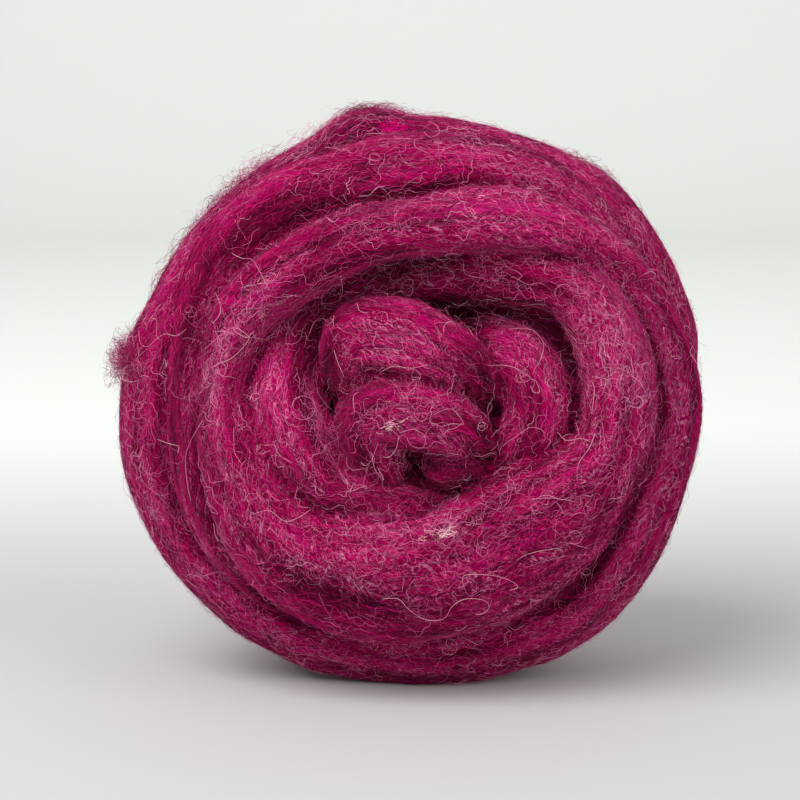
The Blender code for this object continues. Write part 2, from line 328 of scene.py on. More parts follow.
def add_strand(mesh, sections):
    """Lofts one closed length of strand through its sections."""
    gap = (sections[1].centre - sections[0].centre).length
    power = 2 / SECTION_SQUARENESS
    rings = []
    for i, section in enumerate(sections):
        along, side, up = section_ways(sections, i)
        nearest_end = gap * min(i, len(sections) - 1 - i)
        share = rounded(nearest_end, ROUNDED_END * section.thickness)
        ring = []
        for corner in range(SECTION_SIDES):
            angle = 2 * math.pi * corner / SECTION_SIDES
            c, s = math.cos(angle), math.sin(angle)
            reach = math.copysign(abs(c) ** power, c) * section.width / 2
            rise = math.copysign(abs(s) ** power, s) * section.thickness / 2
            ring.append(mesh.verts.new(section.centre + share * (side * reach + up * rise)))
        rings.append(ring)
    for ring, following in zip(rings, rings[1:]):
        for i in range(SECTION_SIDES):
            j = (i + 1) % SECTION_SIDES
            mesh.faces.new((ring[i], ring[j], following[j], following[i]))
    mesh.faces.new(list(reversed(rings[0])))
    mesh.faces.new(rings[-1])


def add_globe(mesh, grid):
    """Adds a ball of radius 1, and gives its vertices."""
    around, up = grid
    return bmesh.ops.create_uvsphere(mesh, u_segments=around, v_segments=up, radius=1)["verts"]


def add_core(mesh):
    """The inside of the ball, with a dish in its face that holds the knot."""
    for vertex in add_globe(mesh, CORE_GRID):
        x, y, z = vertex.co
        flat = math.hypot(x, z)
        size = (flat**CORE_SQUARENESS + abs(y) ** CORE_SQUARENESS) ** (-1 / CORE_SQUARENESS)
        x, y, z = x * size * CORE_RADIUS, y * size * CORE_DEPTH, z * size * CORE_RADIUS
        if y < 0:
            away = math.hypot(x - DISH_MIDDLE[0], z - DISH_MIDDLE[1])
            y += DISH_DEPTH * max(0.0, 1 - (away / DISH_RADIUS) ** 2)
        vertex.co = Vector((x, y, z))


def add_knot_lump(mesh):
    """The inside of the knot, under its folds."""
    across, up, forward = KNOT_MIDDLE
    for vertex in add_globe(mesh, KNOT_GRID):
        x, y, z = vertex.co
        vertex.co = Vector(
            (across + x * KNOT_RADIUS, y * KNOT_DEPTH - forward, up + z * KNOT_RADIUS)
        )


# ---------------------------------------------------------------------------------------------
# The strand's own coordinates, which carry the streaks and steer the fibres
# ---------------------------------------------------------------------------------------------

AROUND_SCALE = 9 * MM  # metres for each radian round the strand
STRAND_GAP = 7.31  # how far apart two strands lie in the noise
SLAB_REACH = 4 * MM  # how far along the strand one section speaks for
CHUNK = 4000  # points that are looked up at one time
SAME_TURN = 45 * MM  # sections nearer than this along the strand are of the same turn
FURROW_DEPTH = 2.2 * MM  # how much deeper than the fused solid the furrows are
FURROW_SHARPNESS = 0.11  # in section sizes
FURROW_SHADE = 0.16  # how far from a furrow the painted shade reaches, darkening the wool, in section sizes
SPLIT_DEPTH = 0.9 * MM  # of the splits between the locks of one turn
SPLIT_SHARPNESS = 0.10
# how far from a split between locks its painted shade reaches, in section sizes
SPLIT_SHADE = 0.07

# The whole numbers that scramble a place of the noise's grid into a random value
HASH_AXES = np.array([73856093, 19349663, 83492791])
HASH_SEED = 15485863
HASH_ROUNDS = ((13, 1274126177), (15, 668265263))
HASH_MASK = 0x7FFFFFFF


class StrandField:
    """All sections as arrays, in the frame's own place, to find which strand a point is on."""

    def __init__(self, runs):
        rows = []
        for number, run in enumerate(runs):
            along_so_far = 0.0
            for i, section in enumerate(run):
                if i:
                    along_so_far += (section.centre - run[i - 1].centre).length
                along, side, up = section_ways(run, i)
                rows.append(
                    [*(section.centre + MIDDLE), *along, *side, *up, section.width / 2]
                    + [section.thickness / 2, along_so_far, number]
                )
        rows = np.array(rows)
        self.centre, self.along = rows[:, 0:3], rows[:, 3:6]
        self.side, self.up = rows[:, 6:9], rows[:, 9:12]
        self.half_width, self.half_thick = rows[:, 12], rows[:, 13]
        self.start, self.number = rows[:, 14], rows[:, 15]

    def nearest(self, points):
        """Index of the section each point lies on, and how near it is to another turn's."""
        found = np.empty(len(points), int)
        margin = np.empty(len(points))
        offset_side = np.sum(self.centre * self.side, axis=1)
        offset_up = np.sum(self.centre * self.up, axis=1)
        offset_along = np.sum(self.centre * self.along, axis=1)
        for first in range(0, len(points), CHUNK):
            some = points[first : first + CHUNK]
            across = (some @ self.side.T - offset_side) / self.half_width
            rise = (some @ self.up.T - offset_up) / self.half_thick
            ahead = (some @ self.along.T - offset_along) / SLAB_REACH
            away = across**2 + rise**2 + ahead**2
            best = np.argmin(away, axis=1)
            best_away = np.sqrt(away[np.arange(len(some)), best])
            same = self.number[None, :] == self.number[best][:, None]
            same &= np.abs(self.start[None, :] - self.start[best][:, None]) < SAME_TURN
            away[same] = np.inf
            found[first : first + CHUNK] = best
            margin[first : first + CHUNK] = np.sqrt(away.min(axis=1)) - best_away
        return found, margin

    def coordinates(self, points, sections):
        """Distance along the strand, distance round it, and a number for each strand."""
        away = points - self.centre[sections]
        ahead = np.sum(away * self.along[sections], axis=1)
        across = np.sum(away * self.side[sections], axis=1) / self.half_width[sections]
        rise = np.sum(away * self.up[sections], axis=1) / self.half_thick[sections]
        around = np.arctan2(rise, across) * AROUND_SCALE
        return np.stack([self.start[sections] + ahead, around, self.number[sections]], axis=1)


def lattice_noise(points, seed):
    """Smooth noise between -1 and 1 over points whose features are about 1 apart."""
    cell = np.floor(points).astype(np.int64)
    part = points - cell
    ease = part * part * (3 - 2 * part)
    total = np.zeros(len(points))
    for corner in np.ndindex(2, 2, 2):
        key = (cell + corner) @ HASH_AXES + seed * HASH_SEED
        for shift, factor in HASH_ROUNDS:
            key = ((key ^ (key >> shift)) * factor) & HASH_MASK
        value = ((key >> 7) & 0xFFFF) / 32767.5 - 1  # sixteen of its bits, from -1 to 1
        weight = np.prod(np.where(corner, ease, 1 - ease), axis=1)
        total += weight * value
    return total


def streaks(strand_place, length, width, seed):
    """Noise in streaks of the given length and width that follow the strand."""
    return lattice_noise(strand_place * np.array([1 / length, 1 / width, STRAND_GAP]), seed)


class Place(NamedTuple):
    """A long spot on the face: where it shows, half its size, its lean, and how strong it is."""

    across: float  # millimetres from the ball's middle, as the camera sees it
    up: float
    length: float
    width: float
    lean: float  # degrees up from level
    amount: float


# Where more pale hairs lie than elsewhere, or fewer where the amount is negative, with a few
# places of painted light
PALE_HAIRS_AND_PAINTED_LIGHT = rows_of(
    Place,
    (-47.5, 17.6, 16, 3.5, 46, 1.1), (-11, 48, 9, 3, 5, 1.0), (18, 49.6, 14, 5, -15, 0.7),
    (57, 14, 18, 7, -70, 0.45), (28, -32, 26, 8, 25, 0.4), (56, -6, 10, 4, 60, 0.3),
    # this row is a painted highlight along the lip of the lower right crevice
    (57.5, -30.5, 13, 2, 68, 0.8), (45.5, -47, 11, 2, 45, 0.8), (31, -57.5, 10, 2, 28, 0.6),
    (-3, 15, 11, 4.0, -8, 0.75), (-4, -4, 12, 5.5, 22, 1.0), (31, 15.5, 9, 4.5, -55, 0.9),
    (6, -37, 12, 3.5, 3, 0.8), (-48, -49, 20, 4, -48, 0.5), (74, 6, 24, 4, 90, 0.5),
    (-38, -1, 12, 5, -75, 0.5), (-68, -8, 24, 8, -80, -0.7), (-66, 28, 24, 8, 68, -0.9),
    # painted shade: (-8, 25) on top of the upper fold, and (35, -2) on the right fold
    (-42, 48, 16, 6, 38, -0.7), (-8, 25, 12, 3.5, -10, -0.6), (5, 65, 20, 6, -5, -0.4),
    (30, -20, 12, 5, 20, -0.4), (35, -2, 13, 5, -80, -0.6),
)
# Places painted darker: painted shade along the crevices between turns and folds, and on the
# recessed right fold
PAINTED_SHADE_PLACES = rows_of(
    Place,
    (60.5, -31, 13, 1.6, 68, 1.8), (48.5, -50, 11, 1.6, 45, 1.8), (33, -61, 10, 1.5, 28, 1.5),
    (-36, -60, 11, 1.6, -43, 1.5), (-25, 56, 22, 4, 26, 0.7), (32, -5, 14, 8, -75, 0.7),
    (-25, -64, 17, 6, -22, 0.5), (16, 6, 6, 4, -40, 0.3), (21.5, -1, 13, 1.6, -83, 0.9),
    (12, -20.5, 9, 4.5, 0, 1.6), (28, 27, 16, 4, 5, 0.6), (-22.5, 14, 12, 3.5, 85, 0.8),
    (-12, -19, 7, 3, -45, 0.6), (19, 14, 9, 3, -75, 0.6), (20, -10, 8, 3.5, 80, 0.9),
    (15, 23, 8, 4, -20, 1.0),
)
# Where the furrows are more open than elsewhere, or felted together
# An opening also deepens a furrow and strengthens its painted shade
OPENER = rows_of(
    Place,
    (59, -33, 20, 8, 65, 1.3), (38, -57, 20, 8, 33, 1.2), (-50, -42, 30, 9, -50, 0.5),
    (0, -66, 26, 6, 0, 0.8), (10.5, -15.5, 6, 2.5, -5, -0.6), (20, -11, 8, 3, 80, 0.8),
    (13, 22, 7, 4, -35, 0.8), (-15, -27, 16, 8, -28, -0.7), (-46, -12, 16, 7, -68, -0.6),
)
FURROW_OPENING = 0.75  # of full, away from the places above
# Painted shade also darkens the wool down inside the winding surface, in its hollows, from and to
# these shares of its size
SUNK_FROM = 1.06
SUNK_TO = 0.76
PALER_DYE_AND_HIGHLIGHT = 0.6  # how much lighter the dye is where more pale hairs lie, and under the painted highlights


def as_seen(points):
    """Places across and up the picture, in metres at the ball's middle."""
    away = points - np.array(CAMERA_TARGET)
    size = CAMERA_DISTANCE / (CAMERA_DISTANCE - away @ np.array(CAMERA_BACK))
    return away[:, 0] * size, away @ np.array(CAMERA_UP) * size


def apart_squared(x, z, spot):
    """How far places are from a long spot's middle, squared, in sizes of the spot."""
    lean = math.radians(spot.lean)
    along = (x * math.cos(lean) + z * math.sin(lean)) / (spot.length * MM)
    aside = (z * math.cos(lean) - x * math.sin(lean)) / (spot.width * MM)
    return along**2 + aside**2


def strength_at(points, places):
    """The amounts of the places, added up at each point of the face."""
    across, up = as_seen(points)
    total = np.zeros(len(points))
    for spot in places:
        away = apart_squared(across - spot.across * MM, up - spot.up * MM, spot)
        total += spot.amount * np.exp(-away)
    return total * (points[:, 1] < MIDDLE.y)


def painted_shade_at(points):
    """How much painted shade darkens each point: along the crevices, on the recessed places and
    down in the hollows.
    """
    away = np.abs(points - np.array(MIDDLE))
    radial = (np.hypot(away[:, 0], away[:, 2]) / WINDING_RADIUS) ** SQUARENESS
    level = (radial + (away[:, 1] / WINDING_DEPTH) ** SQUARENESS) ** (1 / SQUARENESS)
    sunk = np.clip((SUNK_FROM - level) / (SUNK_FROM - SUNK_TO), 0, 1)
    return strength_at(points, PAINTED_SHADE_PLACES) + sunk


def heather_and_shade(points):
    """How much paler the hairs are, and how much lighter the dye is, at each point, with painted
    highlights and painted shade.
    """
    pale, dark = strength_at(points, PALE_HAIRS_AND_PAINTED_LIGHT), painted_shade_at(points)
    return pale - dark, PALER_DYE_AND_HIGHLIGHT * np.maximum(pale, 0) - dark


# ---------------------------------------------------------------------------------------------
# Materials
# ---------------------------------------------------------------------------------------------

DEEP_PLUM = (0.034, 0.001, 0.009)
CRIMSON = (0.16, 0.001, 0.030)
MAGENTA = (0.37, 0.001, 0.079)
ROSE = (0.55, 0.010, 0.155)
MAUVE = (0.22, 0.022, 0.085)
DUSTY_PINK = (0.60, 0.12, 0.31)
PALE_PINK = (0.82, 0.33, 0.50)
HOT_PINK = (0.62, 0.001, 0.15)
# Painted shade: the colour that darkens the wool in its furrows and splits
PAINTED_FURROW_SHADE = (0.28, 0.14, 0.20)
BLACK = (0, 0, 0)


class Grain(NamedTuple):
    """Painted noise that is stretched along the strand."""

    length: float
    width: float
    detail: float
    distortion: float = 0.0
    lean: float = 0.0  # how much it leans across the strand


class HairLines(NamedTuple):
    """A layer of fine crimped hairs that is painted on the surface: level lines of a noise."""

    colour: tuple
    grain: Grain
    levels: tuple
    thickness: float  # in levels
    strength: float


DYE_STREAKS = Grain(55 * MM, 4.5 * MM, 3.0)
DYE_COLOURS = ((0.28, DEEP_PLUM), (0.42, CRIMSON), (0.55, MAGENTA), (0.75, ROSE))
LIGHTER_SHARE = 0.13  # how much the lighter places and the painted shade move the dye's streaks
FINE_STREAKS = Grain(4.5 * MM, 0.30 * MM, 3.0, 0.8)
FINE_SHADES = ((0.30, (0.35, 0.35, 0.35)), (0.55, (1, 1, 1)))
PATCHES = Grain(55 * MM, 5.5 * MM, 2.0)  # where the pale hair lines gather
PATCH_SHADES = ((0.42, (0.08, 0.08, 0.08)), (0.62, (1, 1, 1)))
PALER_SHARE = 0.16  # how much the paler places move the patches, painted highlights and painted shade among them
DARK_LINES = HairLines(
    DEEP_PLUM, Grain(7.5 * MM, 1.0 * MM, 1.0, 0.6, 0.12), (0.41, 0.5, 0.59), 0.030, 0.9
)
PALE_LINES = (
    HairLines(ROSE, Grain(7.0 * MM, 1.3 * MM, 1.0, 0.7, 0.22), (0.42, 0.5, 0.58), 0.020, 0.75),
    HairLines(DUSTY_PINK, Grain(8.0 * MM, 2.0 * MM, 1.0, 0.8, -0.25), (0.43, 0.57), 0.017, 0.75),
    HairLines(PALE_PINK, Grain(6.5 * MM, 2.4 * MM, 1.0, 0.9, 0.45), (0.44, 0.56), 0.013, 0.65),
)
RAISED = 0.35 * MM  # how far the fine streaks and the pale hair lines stand up
UNDYED_COLOURS = ((0.45, (0.78, 0.26, 0.44)), (0.65, (0.88, 0.60, 0.64)))


def set_inputs(node, **inputs):
    """Sets a node's inputs. Their names are given with _ for a space."""
    for name, value in inputs.items():
        node.inputs[name.replace("_", " ")].default_value = value
    return node


def new_material(name, **inputs):
    """A material whose shader has these inputs, with its nodes, its links and its shader."""
    material = bpy.data.materials.new(name)
    material.use_nodes = True
    nodes = material.node_tree.nodes
    shader = set_inputs(nodes["Principled BSDF"], **inputs)
    return material, nodes, material.node_tree.links, shader


def plug(links, socket, value):
    """Gives an input a plain value, or links it where the value is an output."""
    if isinstance(value, bpy.types.NodeSocket):
        links.new(value, socket)
    else:
        socket.default_value = value


def read_attribute(nodes, name):
    """The outputs of a node that reads an attribute of the mesh."""
    node = nodes.new("ShaderNodeAttribute")
    node.attribute_name = name
    return node.outputs


def calculated(nodes, links, kind, operation, *values):
    """The outputs of a math node. Each value is an output of a node or a plain value."""
    node = nodes.new(kind)
    node.operation = operation
    for socket, value in zip(node.inputs, values):
        plug(links, socket, value)
    return node.outputs


def ramped(nodes, links, value, stops):
    """The colour that a ramp with these stops gives to a value."""
    node = nodes.new("ShaderNodeValToRGB")
    ramp = node.color_ramp
    while len(ramp.elements) < len(stops):
        ramp.elements.new(0.5)
    for element, (position, colour) in zip(ramp.elements, stops):
        element.position = position
        element.color = (*colour, 1)
    links.new(value, node.inputs["Fac"])
    return node.outputs["Color"]


def mixed(nodes, links, blend, factor, first, second):
    """Two colours mixed. Each input is an output of a node or a plain value."""
    mix = nodes.new("ShaderNodeMix")
    mix.data_type = "RGBA"
    mix.blend_type = blend
    for name, value in (("Factor", factor), ("A", first), ("B", second)):
        plug(links, mix.inputs[name], value)
    return mix.outputs["Result"]


def streak_noise(nodes, links, spot, grain):
    """Noise stretched along the strand, whose place on the strand comes in as a vector."""
    kind = "ShaderNodeVectorMath"
    slope = (grain.lean / grain.width, 1 / grain.width, 0)
    across = calculated(nodes, links, kind, "DOT_PRODUCT", spot, slope)
    scale = (1 / grain.length, 0, STRAND_GAP)
    along = calculated(nodes, links, kind, "MULTIPLY", spot, scale)
    sideways = nodes.new("ShaderNodeCombineXYZ")
    links.new(across["Value"], sideways.inputs["Y"])
    stretched = calculated(nodes, links, kind, "ADD", along[0], sideways.outputs[0])
    made = nodes.new("ShaderNodeTexNoise")
    set_inputs(made, Scale=1.0, Detail=grain.detail, Distortion=grain.distortion)
    links.new(stretched[0], made.inputs["Vector"])
    return made.outputs["Fac"]


def steered(nodes, links, value, attribute, share):
    """A value with a share of an attribute of the surface added to it."""
    read = read_attribute(nodes, attribute)["Fac"]
    return calculated(nodes, links, "ShaderNodeMath", "MULTIPLY_ADD", read, share, value)[0]


def hair_mask(nodes, links, spot, lines):
    """Where the hairs of a painted layer are, from nought to the layer's strength."""
    stops = []
    for level in lines.levels:
        stops.append((level - lines.thickness, BLACK))
        stops.append((level, (lines.strength,) * 3))
        stops.append((level + lines.thickness, BLACK))
    return ramped(nodes, links, streak_noise(nodes, links, spot, lines.grain), stops)


def surface_material():
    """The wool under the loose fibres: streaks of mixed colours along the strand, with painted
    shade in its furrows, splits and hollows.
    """
    material, nodes, links, shader = new_material(
        "heathered_wool_with_painted_shade",
        Roughness=0.95,
        Specular_IOR_Level=0.0,
        Sheen_Weight=0.13,
        Sheen_Roughness=0.45,
        Sheen_Tint=(0.80, 0.18, 0.42, 1),
    )
    spot = read_attribute(nodes, "strand_place")["Vector"]
    dye = streak_noise(nodes, links, spot, DYE_STREAKS)
    # the lighter attribute carries painted shade as well as lighter dye
    dye = steered(nodes, links, dye, "lighter", LIGHTER_SHARE)
    colour = ramped(nodes, links, dye, DYE_COLOURS)
    fine = streak_noise(nodes, links, spot, FINE_STREAKS)
    shade = ramped(nodes, links, fine, FINE_SHADES)
    colour = mixed(nodes, links, "MULTIPLY", 1.0, colour, shade)
    mask = hair_mask(nodes, links, spot, DARK_LINES)
    colour = mixed(nodes, links, "MIX", mask, colour, (*DARK_LINES.colour, 1))
    patches = streak_noise(nodes, links, spot, PATCHES)
    # the paler attribute carries painted highlights and painted shade as well as pale hairs
    patches = steered(nodes, links, patches, "paler", PALER_SHARE)
    patches = ramped(nodes, links, patches, PATCH_SHADES)
    height = fine
    for lines in PALE_LINES:
        mask = hair_mask(nodes, links, spot, lines)
        mask = mixed(nodes, links, "MULTIPLY", 1.0, mask, patches)
        height = calculated(nodes, links, "ShaderNodeMath", "MAXIMUM", height, mask)[0]
        colour = mixed(nodes, links, "MIX", mask, colour, (*lines.colour, 1))
    # Painted shade: the colour is darkened in the furrows and the splits between locks
    furrow = read_attribute(nodes, "furrow")["Fac"]
    colour = mixed(nodes, links, "MULTIPLY", furrow, colour, (*PAINTED_FURROW_SHADE, 1))
    links.new(colour, shader.inputs["Base Color"])
    bump = set_inputs(nodes.new("ShaderNodeBump"), Strength=1.0, Distance=RAISED)
    links.new(height, bump.inputs["Height"])
    links.new(bump.outputs["Normal"], shader.inputs["Normal"])
    return material


def fibre_material(name, colours):
    """Loose fibres in three colours from dark to light, each a little unlike the next."""
    material, nodes, links, shader = new_material(name, Roughness=0.7, Specular_IOR_Level=0.02)
    tone = read_attribute(nodes, "tone")["Fac"]
    colour = ramped(nodes, links, tone, tuple(zip((0.0, 0.5, 1.0), colours)))
    links.new(colour, shader.inputs["Base Color"])
    return material


def pale_material():
    """Undyed wool hairs, pink in places."""
    material, nodes, links, shader = new_material(
        "pale_wool", Roughness=0.6, Specular_IOR_Level=0.1
    )
    place_node = nodes.new("ShaderNodeTexCoord")
    blotches = set_inputs(nodes.new("ShaderNodeTexNoise"), Scale=120.0, Detail=1.0)
    links.new(place_node.outputs["Object"], blotches.inputs["Vector"])
    colour = ramped(nodes, links, blotches.outputs["Fac"], UNDYED_COLOURS)
    links.new(colour, shader.inputs["Base Color"])
    return material


# ---------------------------------------------------------------------------------------------
# The surface
# ---------------------------------------------------------------------------------------------

FURROW_REACH = (0.6, 1.8)  # least and most that a furrow's opening widens or narrows it by
SPLIT_DARKNESS = 0.75  # painted shade of a split between locks, as a share of a furrow's


class Streaks(NamedTuple):
    """A noise in streaks along the strand: how strong, how long and wide, and its seed."""

    strength: float
    length: float
    width: float
    seed: int


# Ridges and hollows of the loosely laid locks
RELIEF = (
    Streaks(0.75 * MM, 42 * MM, 7 * MM, 1),
    Streaks(0.45 * MM, 30 * MM, 3.2 * MM, 2),
    Streaks(0.20 * MM, 14 * MM, 1.6 * MM, 3),
    Streaks(0.30 * MM, 9 * MM, 8 * MM, 5),
)
SPLIT_LINES = (Streaks(1.0, 60 * MM, 8 * MM, 4),)
SPLIT_STRETCHES = (Streaks(2.0, 40 * MM, 12 * MM, 6),)


def layered(strand_place, layers, number=0):
    """Layers of streaks added up. Each number has its own seeds."""
    return sum(
        layer.strength * streaks(strand_place, layer.length, layer.width, layer.seed + number)
        for layer in layers
    )


def splits(strand_place, sharpness):
    """How near each place is to a split between two locks, from 0 to 1."""
    open_here = np.clip(layered(strand_place, SPLIT_STRETCHES), 0, 1)
    return open_here * np.exp(-np.abs(layered(strand_place, SPLIT_LINES)) / sharpness)


def add_object(name, data):
    """Puts a mesh, curve, light or camera into the scene."""
    made = bpy.data.objects.new(name, data)
    bpy.context.scene.collection.objects.link(made)
    return made


def fused_mesh(runs):
    """The turns and folds fused into one closed mesh, still smooth."""
    mesh = bmesh.new()
    add_core(mesh)
    add_knot_lump(mesh)
    for sections in runs:
        add_strand(mesh, sections)
    bmesh.ops.recalc_face_normals(mesh, faces=mesh.faces)
    bmesh.ops.translate(mesh, verts=mesh.verts, vec=MIDDLE)
    data = bpy.data.meshes.new("roving_surface")
    mesh.to_mesh(data)
    mesh.free()
    rough = add_object("rough_ball", data)
    fuse = rough.modifiers.new("fuse", "REMESH")
    fuse.mode = "VOXEL"
    fuse.voxel_size = SURFACE_VOXEL
    soften = rough.modifiers.new("soften", "SMOOTH")
    soften.factor = 0.5
    soften.iterations = SMOOTHING_PASSES
    graph = bpy.context.evaluated_depsgraph_get()
    fused = bpy.data.meshes.new_from_object(rough.evaluated_get(graph))
    fused.name = "roving_surface"
    bpy.data.objects.remove(rough)
    return fused


def read_rows(items, name, size, row, kind=float):
    """The values of the given size that all items of a mesh have, in rows of an array."""
    values = np.empty(len(items) * size, kind)
    items.foreach_get(name, values)
    return values.reshape(-1, row)


def write_attribute(mesh, name, kind, domain, values):
    """Stores a number or a vector for each point or corner of a mesh."""
    attribute = mesh.attributes.new(name, kind, domain)
    part = "vector" if kind == "FLOAT_VECTOR" else "value"
    attribute.data.foreach_set(part, values.astype(np.float32).ravel())


def add_surface(runs):
    """The surface with its furrows, relief and painted shade, and the ground that fibres lie on.
    """
    field = StrandField(runs)
    mesh = fused_mesh(runs)
    points = read_rows(mesh.vertices, "co", 3, 3)
    quads = read_rows(mesh.loops, "vertex_index", 1, 4, int)
    middles = points[quads].mean(axis=1)
    sections, margins = field.nearest(middles)
    spots = field.coordinates(points[quads].reshape(-1, 3), np.repeat(sections, 4))

    opening = np.clip(FURROW_OPENING + strength_at(middles, OPENER), 0, None)
    reach = np.clip(opening, *FURROW_REACH)
    furrow = FURROW_DEPTH * opening * np.exp(-margins / (FURROW_SHARPNESS * reach))
    relief = layered(spots, RELIEF) - SPLIT_DEPTH * splits(spots, SPLIT_SHARPNESS)
    raised, uses = np.zeros((2, len(points)))
    np.add.at(raised, quads.ravel(), relief - np.repeat(furrow, 4))
    np.add.at(uses, quads.ravel(), 1)
    normals = read_rows(mesh.vertex_normals, "vector", 3, 3)
    points = points + normals * (raised / uses)[:, None]
    points[:, 2] = np.maximum(points[:, 2], 0)
    mesh.vertices.foreach_set("co", points.ravel())

    # Painted shade in the furrows and the splits between locks, stored as the furrow attribute
    shade = opening * np.exp(-margins / (FURROW_SHADE * np.sqrt(reach)))
    shade = np.repeat(np.minimum(shade, 1), 4)
    shade = np.maximum(shade, SPLIT_DARKNESS * splits(spots, SPLIT_SHADE))
    write_attribute(mesh, "strand_place", "FLOAT_VECTOR", "CORNER", spots)
    write_attribute(mesh, "furrow", "FLOAT", "CORNER", shade)
    # paler and lighter: painted highlights and painted shade are in them too
    for name, values in zip(("paler", "lighter"), heather_and_shade(points)):
        write_attribute(mesh, name, "FLOAT", "POINT", values)
    mesh.shade_smooth()
    mesh.update()
    mesh.materials.append(surface_material())
    furrow_shades = shade.reshape(-1, 4).mean(axis=1)
    ground = Ground(points, quads, field.along[sections], spots, furrow_shades)
    return add_object("roving_surface", mesh), ground


# ---------------------------------------------------------------------------------------------
# Fibres
# ---------------------------------------------------------------------------------------------

dice = np.random.default_rng(20)

# How far the fibres of one kind differ, as shares of what their habit says
WIDTHS = (0.6, 1.3)
STEPS = (0.7, 1.35)
CRIMP_LENGTHS = (0.7, 1.5)
CRIMP_SWINGS = (0.3, 1.5)
LIFTS = (0.1, 1.9)
BOB_LENGTHS = (3.5, 9)  # millimetres over which a fibre rises and falls once
BOB_MIDDLE = 0.75  # its mean height, as a share of its lift
BOB_SWING = 0.5  # and how far it rises over that and falls under it
START_BEND = 1.5  # spread of the first curvature, in bends of the habit
BEND_KEPT = 0.85  # from one segment to the next
HEADING_KEPT = 0.97
END_RISE = 5  # how steeply a fibre's ends rise, in heights over its whole length
END_DEPTH = 0.15 * MM  # how far its tips are tucked into the wool
TIP_WIDTH = 0.35  # of the width further in
LEAST_HEIGHT = 0.05 * MM  # over the floor
TONE_POWER = 1.4  # more than 1 makes more fibres dark than light

CELL_MARGIN = 0.08  # of a fibre's cell in the UV map
CELL_SHAPE = 4  # how many cells are as high as one is wide

FACE_FROM = 10 * MM  # in front of the ball's middle
BACK_SHARE = 0.55  # of the fibres behind that, to those in front
FURROW_THINNING = 0.9  # how much fewer fibres lie in a furrow


def unit(vectors):
    return vectors / np.maximum(np.linalg.norm(vectors, axis=-1, keepdims=True), 1e-12)


def sight(across, up):
    """The way that the camera looks at a place across and up the picture."""
    aim = CAMERA_TARGET + Vector((1, 0, 0)) * across + Vector(CAMERA_UP) * up
    return (aim - CAMERA_PLACE).normalized()


class Ground:
    """The surface that fibres lie on, with the strand's direction on each of its faces."""

    def __init__(self, points, quads, along, spots, furrow):
        # furrow: the painted shade of the furrows on each face
        self.points, self.quads, self.furrow = points, quads, furrow
        corner = points[quads]
        cross = np.cross(corner[:, 2] - corner[:, 0], corner[:, 3] - corner[:, 1])
        self.area = np.linalg.norm(cross, axis=1) / 2
        self.normal = unit(cross)
        off_face = self.normal * np.sum(along * self.normal, axis=1, keepdims=True)
        self.along = unit(along - off_face)
        self.middle = corner.mean(axis=1)
        self.away = self.middle - np.array(MIDDLE)
        self.radius = np.hypot(self.away[:, 0], self.away[:, 2])
        self.paler, self.lighter = heather_and_shade(self.middle)
        self.spot = spots.reshape(-1, 4, 3).mean(axis=1)
        self.tree = BVHTree.FromPolygons(points.tolist(), quads.tolist())

    def under(self, places):
        """Nearest surface points, and the faces that they are on."""
        found = np.empty((len(places), 3))
        faces = np.empty(len(places), int)
        nearest = self.tree.find_nearest
        for i, spot in enumerate(places.tolist()):
            found[i], _, faces[i], _ = nearest(spot)
        return found, faces

    def seen(self, across, up):
        """The surface point that the camera sees at a place across and up the picture."""
        point, _, _, _ = self.tree.ray_cast(CAMERA_PLACE, sight(across, up))
        return point

    def pick(self, count, weight):
        """Faces for fibres to start on, more of them where the weight is larger."""
        share = self.area * weight
        return dice.choice(len(share), count, p=share / share.sum())

    def scatter(self, faces):
        """A random point on each of the given faces."""
        corner = self.points[self.quads[faces]]
        a, b = dice.random((2, len(faces), 1))
        return (
            corner[:, 0] * (1 - a) * (1 - b)
            + corner[:, 1] * a * (1 - b)
            + corner[:, 2] * a * b
            + corner[:, 3] * (1 - a) * b
        )


class Habit(NamedTuple):
    """How the fibres of one kind lie, in metres and degrees."""

    width: float
    step: float  # mean length of a segment
    crimp_length: float
    crimp_swing: float
    stray: float  # spread of their direction about the strand's
    bend: float  # change of their curvature from one segment to the next
    lift: float  # mean height over the surface
    tilt: float  # most that a ribbon leans over, in radians


PACKED = Habit(0.13 * MM, 0.95 * MM, 4.5 * MM, 26, 14, 3.5, 0.18 * MM, 0.9)
CRIMPED = Habit(0.08 * MM, 0.66 * MM, 4.2 * MM, 28, 13, 4, 0.34 * MM, 0.8)
FINE = Habit(0.058 * MM, 0.60 * MM, 4.0 * MM, 32, 18, 6, 0.46 * MM, 0.5)
TANGLED = Habit(0.085 * MM, 0.26 * MM, 3.0 * MM, 22, 16, 6, 0.40 * MM, 0.6)
FELTED = Habit(0.14 * MM, 0.26 * MM, 2.6 * MM, 25, 22, 8, 0.35 * MM, 0.4)


